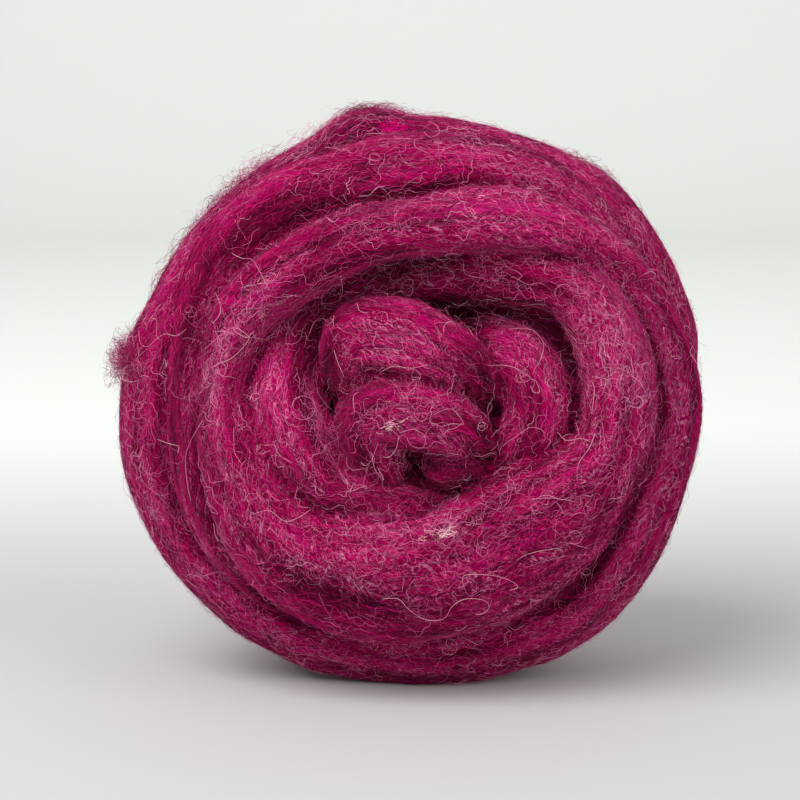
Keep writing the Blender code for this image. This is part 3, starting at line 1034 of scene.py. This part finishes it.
def lay_fibres(ground, starts, segments, habit):
    """Centre lines, directions and normals of fibres that start on the given faces."""
    count = len(starts)
    at = ground.scatter(starts)
    step = habit.step * dice.uniform(*STEPS, count)
    crimp_length = habit.crimp_length * dice.uniform(*CRIMP_LENGTHS, count)
    swing = np.radians(habit.crimp_swing) * dice.uniform(*CRIMP_SWINGS, count)
    phase = dice.uniform(0, 2 * math.pi, count)
    heading = np.radians(habit.stray) * dice.standard_normal(count)
    bend = np.radians(habit.bend) * START_BEND * dice.standard_normal(count)
    height = habit.lift * dice.uniform(*LIFTS, count)
    bob_phase = dice.uniform(0, 2 * math.pi, count)
    bob_length = dice.uniform(*BOB_LENGTHS, count) * MM
    centres, ways, normals = np.empty((3, count, segments + 1, 3))
    forward = np.where(dice.random(count) < 0.5, 1.0, -1.0)[:, None]
    for i in range(segments + 1):
        found, faces = ground.under(at)
        normal = ground.normal[faces]
        along = ground.along[faces] * forward
        side = np.cross(normal, along)
        angle = heading + swing * np.sin(2 * math.pi * i * step / crimp_length + phase)
        way = along * np.cos(angle)[:, None] + side * np.sin(angle)[:, None]
        bob = np.sin(2 * math.pi * i * step / bob_length + bob_phase)
        end = min(i, segments - i) / segments
        rise = height * (BOB_MIDDLE + BOB_SWING * bob) * min(1.0, END_RISE * end)
        centres[:, i] = found + normal * (rise - END_DEPTH * (end == 0))[:, None]
        ways[:, i] = way
        normals[:, i] = normal
        at = found + way * step[:, None]
        bend = BEND_KEPT * bend + np.radians(habit.bend) * dice.standard_normal(count)
        heading = HEADING_KEPT * heading + bend
    return centres, ways, normals


def leaning(ways, normals, most):
    """Which way each ribbon's width points: across the fibre, leaning over by a random angle."""
    tilt = dice.uniform(-most, most, (len(ways), 1, 1))
    return unit(np.cross(normals, ways)) * np.cos(tilt) + normals * np.sin(tilt)


def fibre_batch(ground, starts, segments, habit):
    """Centres, sides, widths and tones of fibres that start on the given faces."""
    centres, ways, normals = lay_fibres(ground, starts, segments, habit)
    across = leaning(ways, normals, habit.tilt)
    widths = habit.width * dice.uniform(*WIDTHS, len(starts))
    return centres, across, widths, dice.random(len(starts)) ** TONE_POWER


def fibre_cells(first, count, rows, fibres):
    """Corners of a UV map in which each fibre has a cell of its own."""
    columns = max(1, round(math.sqrt(fibres / CELL_SHAPE)))
    lines = math.ceil(fibres / columns)
    fibre = first + np.arange(count)
    left, low = fibre % columns, fibre // columns
    along = CELL_MARGIN + (1 - 2 * CELL_MARGIN) * np.arange(rows) / (rows - 1)
    u = (left[:, None] + along) / columns
    u0, u1 = u[:, :-1], u[:, 1:]
    v0 = np.broadcast_to(((low + 2 * CELL_MARGIN) / lines)[:, None], u0.shape)
    v1 = np.broadcast_to(((low + 1 - 2 * CELL_MARGIN) / lines)[:, None], u0.shape)
    return np.stack([u0, v0, u0, v1, u1, v1, u1, v0], axis=2).reshape(-1, 2)


def ribbon_mesh(name, batches):
    """One joined mesh of narrow ribbons, from batches of centres, sides, widths and tones."""
    points, quads, tones, cells = [], [], [], []
    used = done = 0
    fibres = sum(len(centres) for centres, _, _, _ in batches)
    for centres, across, widths, shades in batches:
        count, rows = centres.shape[:2]
        from_tip = np.minimum(np.arange(rows), np.arange(rows)[::-1])
        taper = np.minimum(1.0, TIP_WIDTH + (1 - TIP_WIDTH) * from_tip)
        half = across * (widths[:, None] * taper / 2)[:, :, None]
        both = np.stack([centres - half, centres + half], axis=2)
        both[..., 2] = np.maximum(both[..., 2], LEAST_HEIGHT)
        start = used + (np.arange(count) * rows * 2)[:, None] + np.arange(rows - 1) * 2
        points.append(both.reshape(-1, 3))
        quads.append(np.stack([start, start + 1, start + 3, start + 2], axis=2).reshape(-1, 4))
        tones.append(np.repeat(shades, rows * 2))
        cells.append(fibre_cells(done, count, rows, fibres))
        used += count * rows * 2
        done += count
    points, quads = np.concatenate(points), np.concatenate(quads)
    mesh = bpy.data.meshes.new(name)
    mesh.vertices.add(len(points))
    mesh.vertices.foreach_set("co", points.astype(np.float32).ravel())
    mesh.loops.add(quads.size)
    mesh.loops.foreach_set("vertex_index", quads.ravel().astype(np.int32))
    mesh.polygons.add(len(quads))
    mesh.polygons.foreach_set("loop_start", np.arange(0, quads.size, 4, dtype=np.int32))
    mesh.update(calc_edges=True)
    write_attribute(mesh, "tone", "FLOAT", "POINT", np.concatenate(tones))
    layer = mesh.uv_layers.new(name="OFBake", do_init=False)
    layer.uv.foreach_set("vector", np.concatenate(cells).astype(np.float32).ravel())
    mesh.shade_smooth()
    return mesh


def add_fibre_piece(name, batches, wool, colours):
    """One piece of fibres, in a wool of three colours from dark to light."""
    mesh = ribbon_mesh(name, batches)
    mesh.materials.append(fibre_material(wool, colours))
    return add_object(name, mesh)


class Dye(NamedTuple):
    """One piece of fibres: its colours from dark to light, and how many lie in which habit."""

    name: str
    colours: tuple
    fibres: int
    segments: int
    habit: Habit
    patchiness: float  # how much its fibres gather in streaks
    pull: float  # how much more of them lie where the wool is paler, painted highlights and painted shade included


DARK_CRIMSON, DARK_MAUVE = (0.07, 0.001, 0.015), (0.05, 0.002, 0.015)
DEEP_ROSE, LIGHT_MAUVE = (0.48, 0.004, 0.125), (0.50, 0.09, 0.25)
SOFT_PINK, LIGHT_PINK = (0.62, 0.10, 0.29), (0.84, 0.34, 0.51)
DYES = (
    Dye("fibres_crimson", (DARK_CRIMSON, CRIMSON, MAGENTA), 4000, 12, PACKED, 1.2, -0.5),
    Dye("fibres_rose", (MAGENTA, DEEP_ROSE, ROSE), 4100, 12, PACKED, 1.0, -0.1),
    Dye("fibres_mauve", (DARK_MAUVE, MAUVE, LIGHT_MAUVE), 7300, 13, CRIMPED, 1.3, 0.6),
    Dye("fibres_pink", (ROSE, SOFT_PINK, LIGHT_PINK), 6900, 14, FINE, 1.4, 0.9),
)
# Where the fibres of one dye gather, and where fibres of all dyes are lighter, or darker under
# painted shade
GATHERING = (Streaks(1.0, 60 * MM, 6 * MM, 30), Streaks(0.6, 22 * MM, 3 * MM, 40))
BLENDING = (Streaks(1.0, 50 * MM, 5 * MM, 51), Streaks(0.7, 16 * MM, 2.4 * MM, 52))
BLEND_LIGHTER = 0.5  # how much the lighter places and the painted shade add to that
TONE_BLEND = 0.55  # how much of that goes into a fibre's tone
FIBRE_FURROW_SHADE = 0.3  # painted shade: how much darker the fibres in a furrow are


def add_fibres(ground):
    """The fibres that lie on the surface, in one piece for each dye."""
    made = []
    facing = np.where(ground.middle[:, 1] < MIDDLE.y - FACE_FROM, 1.0, BACK_SHARE)
    even = facing * (1 - FURROW_THINNING * ground.furrow)
    blend = layered(ground.spot, BLENDING) + BLEND_LIGHTER * ground.lighter
    for number, dye in enumerate(DYES):
        drift = layered(ground.spot, GATHERING, number) + ground.paler * dye.pull
        starts = ground.pick(dye.fibres, even * np.exp(dye.patchiness * drift))
        *ribbons, tones = fibre_batch(ground, starts, dye.segments, dye.habit)
        # painted shade: fibre tones darken in the furrows and under the painted shade places
        tones = tones + TONE_BLEND * blend[starts] - FIBRE_FURROW_SHADE * ground.furrow[starts]
        batch = (*ribbons, np.clip(tones, 0, 1))
        made.append(add_fibre_piece(dye.name, [batch], dye.name + "_wool", dye.colours))
    return made


# ---------------------------------------------------------------------------------------------
# Stray hairs
# ---------------------------------------------------------------------------------------------


class Hairs(NamedTuple):
    """One kind of stray hair: how many there are, and how far and high they arch, in metres."""

    count: int
    reach: float
    height: float
    rows: int
    width: float
    loops: float = 0.0  # largest radius of their curls
    free: float = 0.3  # share of them whose far end stays free


class Wisp(NamedTuple):
    """A patch of loose fuzz that stands off the rim."""

    clock: float
    spread: float  # degrees
    behind: float  # metres forward of the middle, from and to
    ahead: float
    hairs: int
    reach: float
    height: float
    loops: float


class Noil(NamedTuple):
    """A small tangle of short fibres: its place and size in the picture, in millimetres."""

    across: float
    up: float
    length: float
    width: float
    lean: float  # degrees up from level
    hairs: int


# How far the hairs of one kind differ, as shares of what the kind says
HAIR_LENGTHS = (0.5, 1.6)
HAIR_HEIGHTS = (0.3, 1.7)
LOOP_SIZES = (0.4, 1.0)
LOOP_TURNS = (1, 3)  # from the first to below the second
HAIR_TURN = 50  # degrees: spread of their direction about the strand's
HAIR_TILT = 1.5  # radians: most that a hair's ribbon leans over
FREE_RISE = 1.4  # power by which a free end rises
HAIR_WAVES = ((1.0, 0.16), (2.3, 0.07), (4.5, 0.03))  # turns, and swings in hair lengths
WAVE_TURNS = (0.7, 1.3)  # shares of those turns
WAVE_RISE = 0.3  # how much of a swing goes up and down
WAVE_BOW = 0.2  # and how much of that it keeps at the root
WAVE_SPAN = 1.02  # how far along a hair its waves would die out

DARK_HAIRS = Hairs(2600, 6 * MM, 0.9 * MM, 8, 0.07 * MM)
PALE_HAIRS = Hairs(1200, 7 * MM, 1.0 * MM, 10, 0.06 * MM)
CURLS = Hairs(420, 3 * MM, 0.9 * MM, 22, 0.06 * MM, 1.9 * MM)
HAIR_THINNING = 0.7  # how much fewer of these grow in a furrow
RIM_FUZZ = Hairs(2600, 5 * MM, 0.8 * MM, 7, 0.06 * MM)
RIM_FROM = 62 * MM  # from the winding's axis
RIM_DEPTH = 22 * MM  # in front of and behind the middle
KNOT_FUZZ = Hairs(600, 8 * MM, 1.1 * MM, 11, 0.055 * MM)
KNOT_REACH = 45 * MM  # from the winding's axis
KNOT_FROM = 20 * MM  # in front of the middle
TUCKED_FUZZ = Hairs(260, 4 * MM, 1.0 * MM, 10, 0.06 * MM, 0.5 * MM)
TUCKED_PLACE = Place(11.5, -18.5, 7.5, 3.2, 2, 1.0)
TUCKED_LEVEL = 0.4  # of the place's strength, from where the fuzz grows

WISP_FROM = 66 * MM  # from the winding's axis
WISP_ROWS = 14
WISP_THICKNESS = 0.07 * MM
WISP_FREE = 0.1
DARK_WISPS = (
    Wisp(-81.6, 2.2, -6 * MM, 18 * MM, 620, 5.0 * MM, 3.2 * MM, 1.4 * MM),
    Wisp(-58, 9, -20 * MM, 14 * MM, 260, 9 * MM, 1.6 * MM, 0.8 * MM),
    Wisp(-40, 8, -20 * MM, 14 * MM, 420, 10 * MM, 2.2 * MM, 0.8 * MM),
    Wisp(-8, 4, -18 * MM, 10 * MM, 420, 10 * MM, 1.6 * MM, 0.5 * MM),
    Wisp(39, 4, -18 * MM, 10 * MM, 160, 7 * MM, 1.6 * MM, 0.8 * MM),
    Wisp(92, 5, -15 * MM, 15 * MM, 160, 7 * MM, 1.6 * MM, 0.8 * MM),
)
PALE_WISPS = (
    Wisp(-81.5, 2.2, -5 * MM, 18 * MM, 130, 5 * MM, 3.0 * MM, 1.3 * MM),
    Wisp(-38, 4, -20 * MM, 10 * MM, 120, 7 * MM, 3.6 * MM, 1.5 * MM),
    Wisp(-19, 4, -20 * MM, 8 * MM, 80, 7 * MM, 2.8 * MM, 1.5 * MM),
)

PALE_NOILS = rows_of(
    Noil,
    (9.9, -37.6, 0.9, 0.4, 10, 30), (7.5, -38.0, 5.0, 1.4, 5, 20), (-5.6, -8.2, 2.4, 0.3, 34, 26),
    (-68, 8, 1.2, 1.0, 0, 8),
)
PINK_NOILS = rows_of(
    Noil,
    (3.6, 20.9, 1.0, 0.7, -15, 60), (-4.9, 74.4, 2.6, 1.0, 10, 120), (-50, 27, 3.0, 1.5, 60, 70),
)
NOIL_DEPTH = 6 * MM
NOIL_SEGMENTS = 9

STRAY_PINKS = (ROSE, (0.74, 0.22, 0.40), (0.86, 0.45, 0.58))
CREAMS = (PALE_PINK, (0.86, 0.52, 0.54), (0.92, 0.76, 0.70))


def arching_hairs(ground, weight, hairs):
    """Hairs that leave the surface and come back to it, or whose far end stays free."""
    count = hairs.count
    starts = ground.pick(count, weight)
    root = ground.scatter(starts)
    normal, along = ground.normal[starts], ground.along[starts]
    turn = np.radians(HAIR_TURN) * dice.standard_normal(count)[:, None]
    turn = turn + math.pi * (dice.random((count, 1)) < 0.5)
    way = along * np.cos(turn) + np.cross(normal, along) * np.sin(turn)
    length = (hairs.reach * dice.uniform(*HAIR_LENGTHS, count))[:, None]
    end, end_faces = ground.under(root + way * length)
    is_free = dice.random(count)[:, None, None] < hairs.free
    s = np.linspace(0, 1, hairs.rows)[None, :, None]
    top = (hairs.height * dice.uniform(*HAIR_HEIGHTS, count))[:, None, None]
    up = unit(normal[:, None] * (1 - s) + ground.normal[end_faces][:, None] * s)
    bow = np.where(is_free, s**FREE_RISE, 4 * s * (1 - s))
    line = root[:, None] * (1 - s) + end[:, None] * s + up * top * bow
    side = unit(np.cross(up, way[:, None]))
    fade = 2 * np.sqrt(s * (WAVE_SPAN - s))
    for waves, size in HAIR_WAVES:
        phase = dice.uniform(0, 2 * math.pi, (count, 1, 1))
        turns = waves * dice.uniform(*WAVE_TURNS, (count, 1, 1))
        swing = size * length[:, :, None] * np.sin(2 * math.pi * turns * s + phase)
        line = line + (side * swing + up * swing * WAVE_RISE * (bow + WAVE_BOW)) * fade
    if hairs.loops:
        turns = dice.integers(*LOOP_TURNS, (count, 1, 1))
        radius = hairs.loops * dice.uniform(*LOOP_SIZES, (count, 1, 1))
        angle = 2 * math.pi * turns * s
        line = line + (way[:, None] * np.sin(angle) + side * (1 - np.cos(angle))) * radius
    across = leaning(unit(np.gradient(line, axis=1)), np.broadcast_to(up, line.shape), HAIR_TILT)
    return line, across, hairs.width * dice.uniform(*WIDTHS, count), dice.random(count)


def wisp_batches(ground, wisps):
    """Hairs on the rim about each wisp's clock angle."""
    clocks = np.degrees(np.arctan2(ground.away[:, 0], ground.away[:, 2]))
    forward = -ground.away[:, 1]
    batches = []
    for wisp in wisps:
        aside = (clocks - wisp.clock + 180) % 360 - 180
        inside = (forward > wisp.behind) & (forward < wisp.ahead) & (ground.radius > WISP_FROM)
        weight = np.exp(-((aside / wisp.spread) ** 2)) * inside
        size = (wisp.hairs, wisp.reach, wisp.height, WISP_ROWS, WISP_THICKNESS)
        batches.append(arching_hairs(ground, weight, Hairs(*size, wisp.loops, WISP_FREE)))
    return batches


def noil_batches(ground, noils, habit):
    """Short fibres about the surface point that the camera sees at each noil's place."""
    batches = []
    for noil in noils:
        away = ground.middle - np.array(ground.seen(noil.across * MM, noil.up * MM))
        near = np.abs(away[:, 1]) < NOIL_DEPTH
        weight = np.exp(-apart_squared(away[:, 0], away[:, 2], noil)) * near
        starts = ground.pick(noil.hairs, weight)
        batches.append(fibre_batch(ground, starts, NOIL_SEGMENTS, habit))
    return batches


def add_strays(ground):
    """Hairs that stand off the ball all over, more where the rim is fuzzy, and the noils."""
    even = 1 - HAIR_THINNING * ground.furrow
    rim = (ground.radius > RIM_FROM) & (np.abs(ground.away[:, 1]) < RIM_DEPTH)
    knot = (ground.radius < KNOT_REACH) & (ground.away[:, 1] < -KNOT_FROM)
    tucked = strength_at(ground.middle, (TUCKED_PLACE,)) > TUCKED_LEVEL
    dark = [arching_hairs(ground, even, DARK_HAIRS)]
    dark += wisp_batches(ground, DARK_WISPS)
    dark.append(arching_hairs(ground, tucked, TUCKED_FUZZ))
    pale = [
        arching_hairs(ground, rim, RIM_FUZZ),
        arching_hairs(ground, even, PALE_HAIRS),
        arching_hairs(ground, even * knot, KNOT_FUZZ),
        arching_hairs(ground, even, CURLS),
    ]
    pale += wisp_batches(ground, PALE_WISPS)
    pale_noils = noil_batches(ground, PALE_NOILS, TANGLED)
    pink_noils = noil_batches(ground, PINK_NOILS, FELTED)
    hot_pinks = (MAGENTA, HOT_PINK, HOT_PINK)
    return [
        add_fibre_piece("stray_dark", dark, "stray_dark_wool", (CRIMSON, MAUVE, ROSE)),
        add_fibre_piece("stray_pale", pale, "stray_pale_wool", STRAY_PINKS),
        add_fibre_piece("pale_noils", pale_noils, "cream_wool", CREAMS),
        add_fibre_piece("pink_noils", pink_noils, "hot_pink_wool", hot_pinks),
    ]


# ---------------------------------------------------------------------------------------------
# Long hairs
# ---------------------------------------------------------------------------------------------

HAIR_THICKNESS = 0.085 * MM
HAIR_LIFT = 0.7 * MM  # off the surface
HAIR_PIECES = 6  # between two places of its line
BRIDGE = 5  # points of a hair's line
TUCKED_POINTS = 2  # at each of its ends

# Single pale hairs that show on the face: places across and up the picture, in millimetres
LONG_HAIRS = (
    ((-50, 40), (-47, 38.5), (-44, 38), (-41.5, 34), (-40, 31.5), (-37.5, 33), (-36, 36)),
    ((-75.5, 18.5), (-75, 15), (-73, 14), (-70, 16.5), (-68, 17.5), (-65, 17), (-62, 19)),
    ((-72, 22), (-70.5, 21), (-70.5, 17), (-69, 15.5)),
    ((21, 8.7), (26, 8.8), (30, 7.5), (34, 4.5), (33.5, 2)),
    ((24.5, -16.5), (25, -14), (29, -11), (33, -8.5), (36, -9), (37.5, -10.5)),
    ((40.5, -9.5), (43, -12), (47, -11.5), (50, -12.5)),
    ((-57.5, -6), (-61, -12), (-62.5, -17), (-62, -24), (-61, -29)),
    ((-8.5, -56), (-3.5, -56), (-0.5, -59), (4, -61.7), (9, -61.5), (11.5, -58), (15, -56))
    + ((20, -56.3), (21.7, -58.2), (20, -60), (17.5, -60.3)),
    ((-19.5, 34), (-19, 29.5), (-20, 27), (-22, 26), (-25, 26)),
    ((-15, 26.3), (-14.3, 24), (-12.5, 23.3)),
    ((-21.5, 13.5), (-20.3, 9.6), (-18.5, 5.5)),
    ((9, 17.3), (9.3, 19.8), (11, 21), (12.5, 19.8)),
    ((14, 20.5), (16, 19), (17.3, 16.7)),
    ((-15.6, -4.7), (-16, 0), (-14.3, 1.5)),
    ((50, -5.5), (50.8, 1.6), (50.2, 4.4)),
    ((-19, 56.5), (-17.5, 53.5)),
    ((-54.3, 29), (-53, 26), (-53, 23), (-55, 20.3)),
    ((-49.5, 18.5), (-45.6, 16.5), (-44, 18)),
    ((43.5, -38), (45.5, -37), (47.5, -38.5), (46.5, -40.5), (44, -40.5), (49, -42)),
    ((35.5, -27.7), (38, -27.2), (41.5, -28.5), (44, -27.8)),
    ((-33.2, -3), (-32.2, -0.7), (-29.9, 0.3), (-27.5, -0.7), (-26.6, -3), (-27.5, -5.3))
    + ((-29.9, -6.3), (-32.2, -5.4), (-33, -3.6)),
    ((3, 74), (6, 76), (8, 73.5), (5.5, 72), (3.5, 73.5)),
    ((-9, 6.5), (-5, 8.5), (0, 8), (5, 9)),
    ((-11, -15), (-10, -20), (-7.5, -23), (-9.5, -19)),
    ((-70.4, -11.7), (-68, -12.6), (-66.5, -13.1), (-64.4, -13.7), (-64.7, -15.7)),
    ((-58, 12.6), (-50, 19), (-45.5, 17.2), (-45.2, 15.5), (-49.4, 11), (-54, 9)),
    ((-44.4, -32.6), (-39.3, -31.5), (-35.3, -34.3), (-32, -33.8), (-27.4, -31)),
    ((-38, -12.8), (-36.4, -16.2), (-32.5, -18.5)),
    ((-9, -12.5), (-11, -17.5), (-12.6, -19), (-14, -18)),
    ((-3.4, -10.5), (-4, -14), (-6, -16.6), (-8, -16.6)),
    ((-3.4, -10), (0.7, -9), (3.8, -11), (3.3, -14), (0.2, -13.5), (-1.3, -11)),
    ((5.3, -5.3), (11, -3.3), (14.6, -7.4), (11.5, -7.4), (8, -8.4)),
    ((32.8, 5), (34.6, 4.4), (35.6, 1.4), (34, 1.4), (33, 3.4)),
    ((46, -23.8), (46.4, -18.7), (49.5, -14), (51, -10)),
    ((26.4, 18.8), (33, 18.8), (36.6, 15.2), (36, 10.6), (34, 7.5)),
    ((68.4, -30.3), (70.3, -31.6), (69.7, -28.4)),
    ((29, -45.6), (32, -43.7), (37.2, -42.4), (42.3, -41.7)),
    ((14.3, -52), (15, -49.4), (22, -49.4), (27, -50.7), (29.6, -52.6), (27, -53.8)),
    ((32.8, -28.4), (39, -28), (45.5, -29)),
    ((62, 1), (64.3, -1), (63.3, -3), (60, -2.3)),
)


def bridged(depths):
    """Distances from the camera to a hair that lies on the high places and spans the low ones."""
    padded = np.pad(depths, BRIDGE, mode="edge")
    windows = np.lib.stride_tricks.sliding_window_view(padded, 2 * BRIDGE + 1)
    nearest = np.pad(windows.min(axis=1), BRIDGE, mode="edge")
    smooth = np.lib.stride_tricks.sliding_window_view(nearest, 2 * BRIDGE + 1).mean(axis=1)
    ends = np.minimum(np.arange(len(depths)), np.arange(len(depths))[::-1])
    tucked = np.maximum(0, 1 - ends / TUCKED_POINTS)
    return (smooth - HAIR_LIFT) * (1 - tucked) + (depths + HAIR_LIFT / 2) * tucked


def add_long_hairs(ground):
    """The single pale hairs, as thin round threads just off the surface."""
    curve = bpy.data.curves.new("long_hairs", "CURVE")
    curve.dimensions = "3D"
    curve.bevel_depth = HAIR_THICKNESS / 2
    curve.bevel_resolution = 0
    curve.use_fill_caps = True
    for places in LONG_HAIRS:
        route = smoothed(np.array(places, float), HAIR_PIECES) * MM
        seen = [(sight(*spot), ground.seen(*spot)) for spot in route]
        seen = [(way, point) for way, point in seen if point is not None]
        depths = bridged(np.array([(point - CAMERA_PLACE).length for _, point in seen]))
        spline = curve.splines.new("POLY")
        spline.points.add(len(seen) - 1)
        for spot, (way, _), depth in zip(spline.points, seen, depths):
            spot.co = (*(CAMERA_PLACE + way * depth), 1)
    curve.materials.append(pale_material())
    return add_object("long_hairs", curve)


# ---------------------------------------------------------------------------------------------
# Floor, light and camera
# ---------------------------------------------------------------------------------------------

FRAME_PIXELS = 800
PIXEL = 0.2772 * MM  # at the winding's middle
MIDDLE_PIXEL = (411, 397)
SENSOR = 36

NEAR_FLOOR = (0.53, 0.52, 0.525)
FAR_FLOOR = (0.81, 0.83, 0.80)
PALING = (0.05, 0.5)  # how far behind the ball the floor starts and ends to turn paler
FLOOR_HALF_WIDTH = 3.0
FLOOR_FRONT = -2.0
FLOOR_BACK = 1.6
FLOOR_BEND = 0.5  # radius of the bend up into the backdrop
BEND_PIECES = 16
BACKDROP_TOP = 2.5
WORLD_LIGHT = 0.55


class Light(NamedTuple):
    """A square light, with the place that it points at."""

    name: str
    spot: tuple
    target: tuple
    size: float
    power: float


LIGHTS = (
    Light("key", (-0.55, -0.65, 0.95), tuple(MIDDLE), 0.9, 16.2),
    Light("fill", (1.0, -0.8, 0.6), tuple(MIDDLE), 1.0, 7.5),
    Light("backdrop", (0, 0.6, 1.6), (0, 2.0, 0.9), 1.5, 10),
)


def add_camera():
    data = bpy.data.cameras.new("camera")
    data.sensor_width = SENSOR
    data.lens = SENSOR / (FRAME_PIXELS * PIXEL / CAMERA_DISTANCE)
    data.shift_x = (FRAME_PIXELS / 2 - MIDDLE_PIXEL[0]) / FRAME_PIXELS
    data.shift_y = (MIDDLE_PIXEL[1] - FRAME_PIXELS / 2) / FRAME_PIXELS
    camera = add_object("camera", data)
    camera.location = CAMERA_PLACE
    camera.rotation_mode = "QUATERNION"
    camera.rotation_quaternion = (-Vector(CAMERA_BACK)).to_track_quat("-Z", "Y")
    bpy.context.scene.camera = camera


def floor_material():
    """Pale grey under the ball, paler away behind it."""
    material, nodes, links, shader = new_material(
        "pale_floor", Roughness=0.8, Specular_IOR_Level=0.1
    )
    place_node = nodes.new("ShaderNodeTexCoord")
    split = nodes.new("ShaderNodeSeparateXYZ")
    links.new(place_node.outputs["Object"], split.inputs["Vector"])
    spread = set_inputs(nodes.new("ShaderNodeMapRange"), From_Min=PALING[0], From_Max=PALING[1])
    spread.interpolation_type = "SMOOTHSTEP"
    links.new(split.outputs["Y"], spread.inputs["Value"])
    stops = ((0.0, NEAR_FLOOR), (1.0, FAR_FLOOR))
    colour = ramped(nodes, links, spread.outputs["Result"], stops)
    links.new(colour, shader.inputs["Base Color"])
    return material


def add_floor():
    """A pale floor that curves up into a pale backdrop."""
    mesh = bmesh.new()
    profile = [(FLOOR_FRONT, 0.0), (FLOOR_BACK, 0.0)]
    for i in range(1, BEND_PIECES + 1):
        turn = math.pi / 2 * i / BEND_PIECES
        back, rise = math.sin(turn), 1 - math.cos(turn)
        profile.append((FLOOR_BACK + FLOOR_BEND * back, FLOOR_BEND * rise))
    profile.append((FLOOR_BACK + FLOOR_BEND, BACKDROP_TOP))
    sides = (-FLOOR_HALF_WIDTH, FLOOR_HALF_WIDTH)
    rows = [[mesh.verts.new((x, y, z)) for x in sides] for y, z in profile]
    for low, high in zip(rows, rows[1:]):
        mesh.faces.new((low[0], low[1], high[1], high[0]))
    data = bpy.data.meshes.new("floor")
    mesh.to_mesh(data)
    mesh.free()
    data.shade_smooth()
    data.materials.append(floor_material())
    floor = add_object("floor", data)


def add_studio():
    add_floor()
    for name, spot, target, size, power in LIGHTS:
        data = bpy.data.lights.new(name, "AREA")
        data.size = size
        data.energy = power
        light = add_object(name, data)
        light.location = spot
        light.rotation_mode = "QUATERNION"
        light.rotation_quaternion = (Vector(spot) - Vector(target)).to_track_quat("Z", "Y")
    world = bpy.data.worlds.new("studio")
    world.use_nodes = True
    set_inputs(world.node_tree.nodes["Background"], Color=(1, 1, 1, 1), Strength=WORLD_LIGHT)
    bpy.context.scene.world = world
    bpy.context.scene.view_settings.view_transform = "Standard"


add_camera()
surface, ground = add_surface(strands())
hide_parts("roving_ball")
pieces = [surface] + add_fibres(ground) + add_strays(ground) + [add_long_hairs(ground)]
for piece in pieces:
    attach(piece, "root")
add_studio()
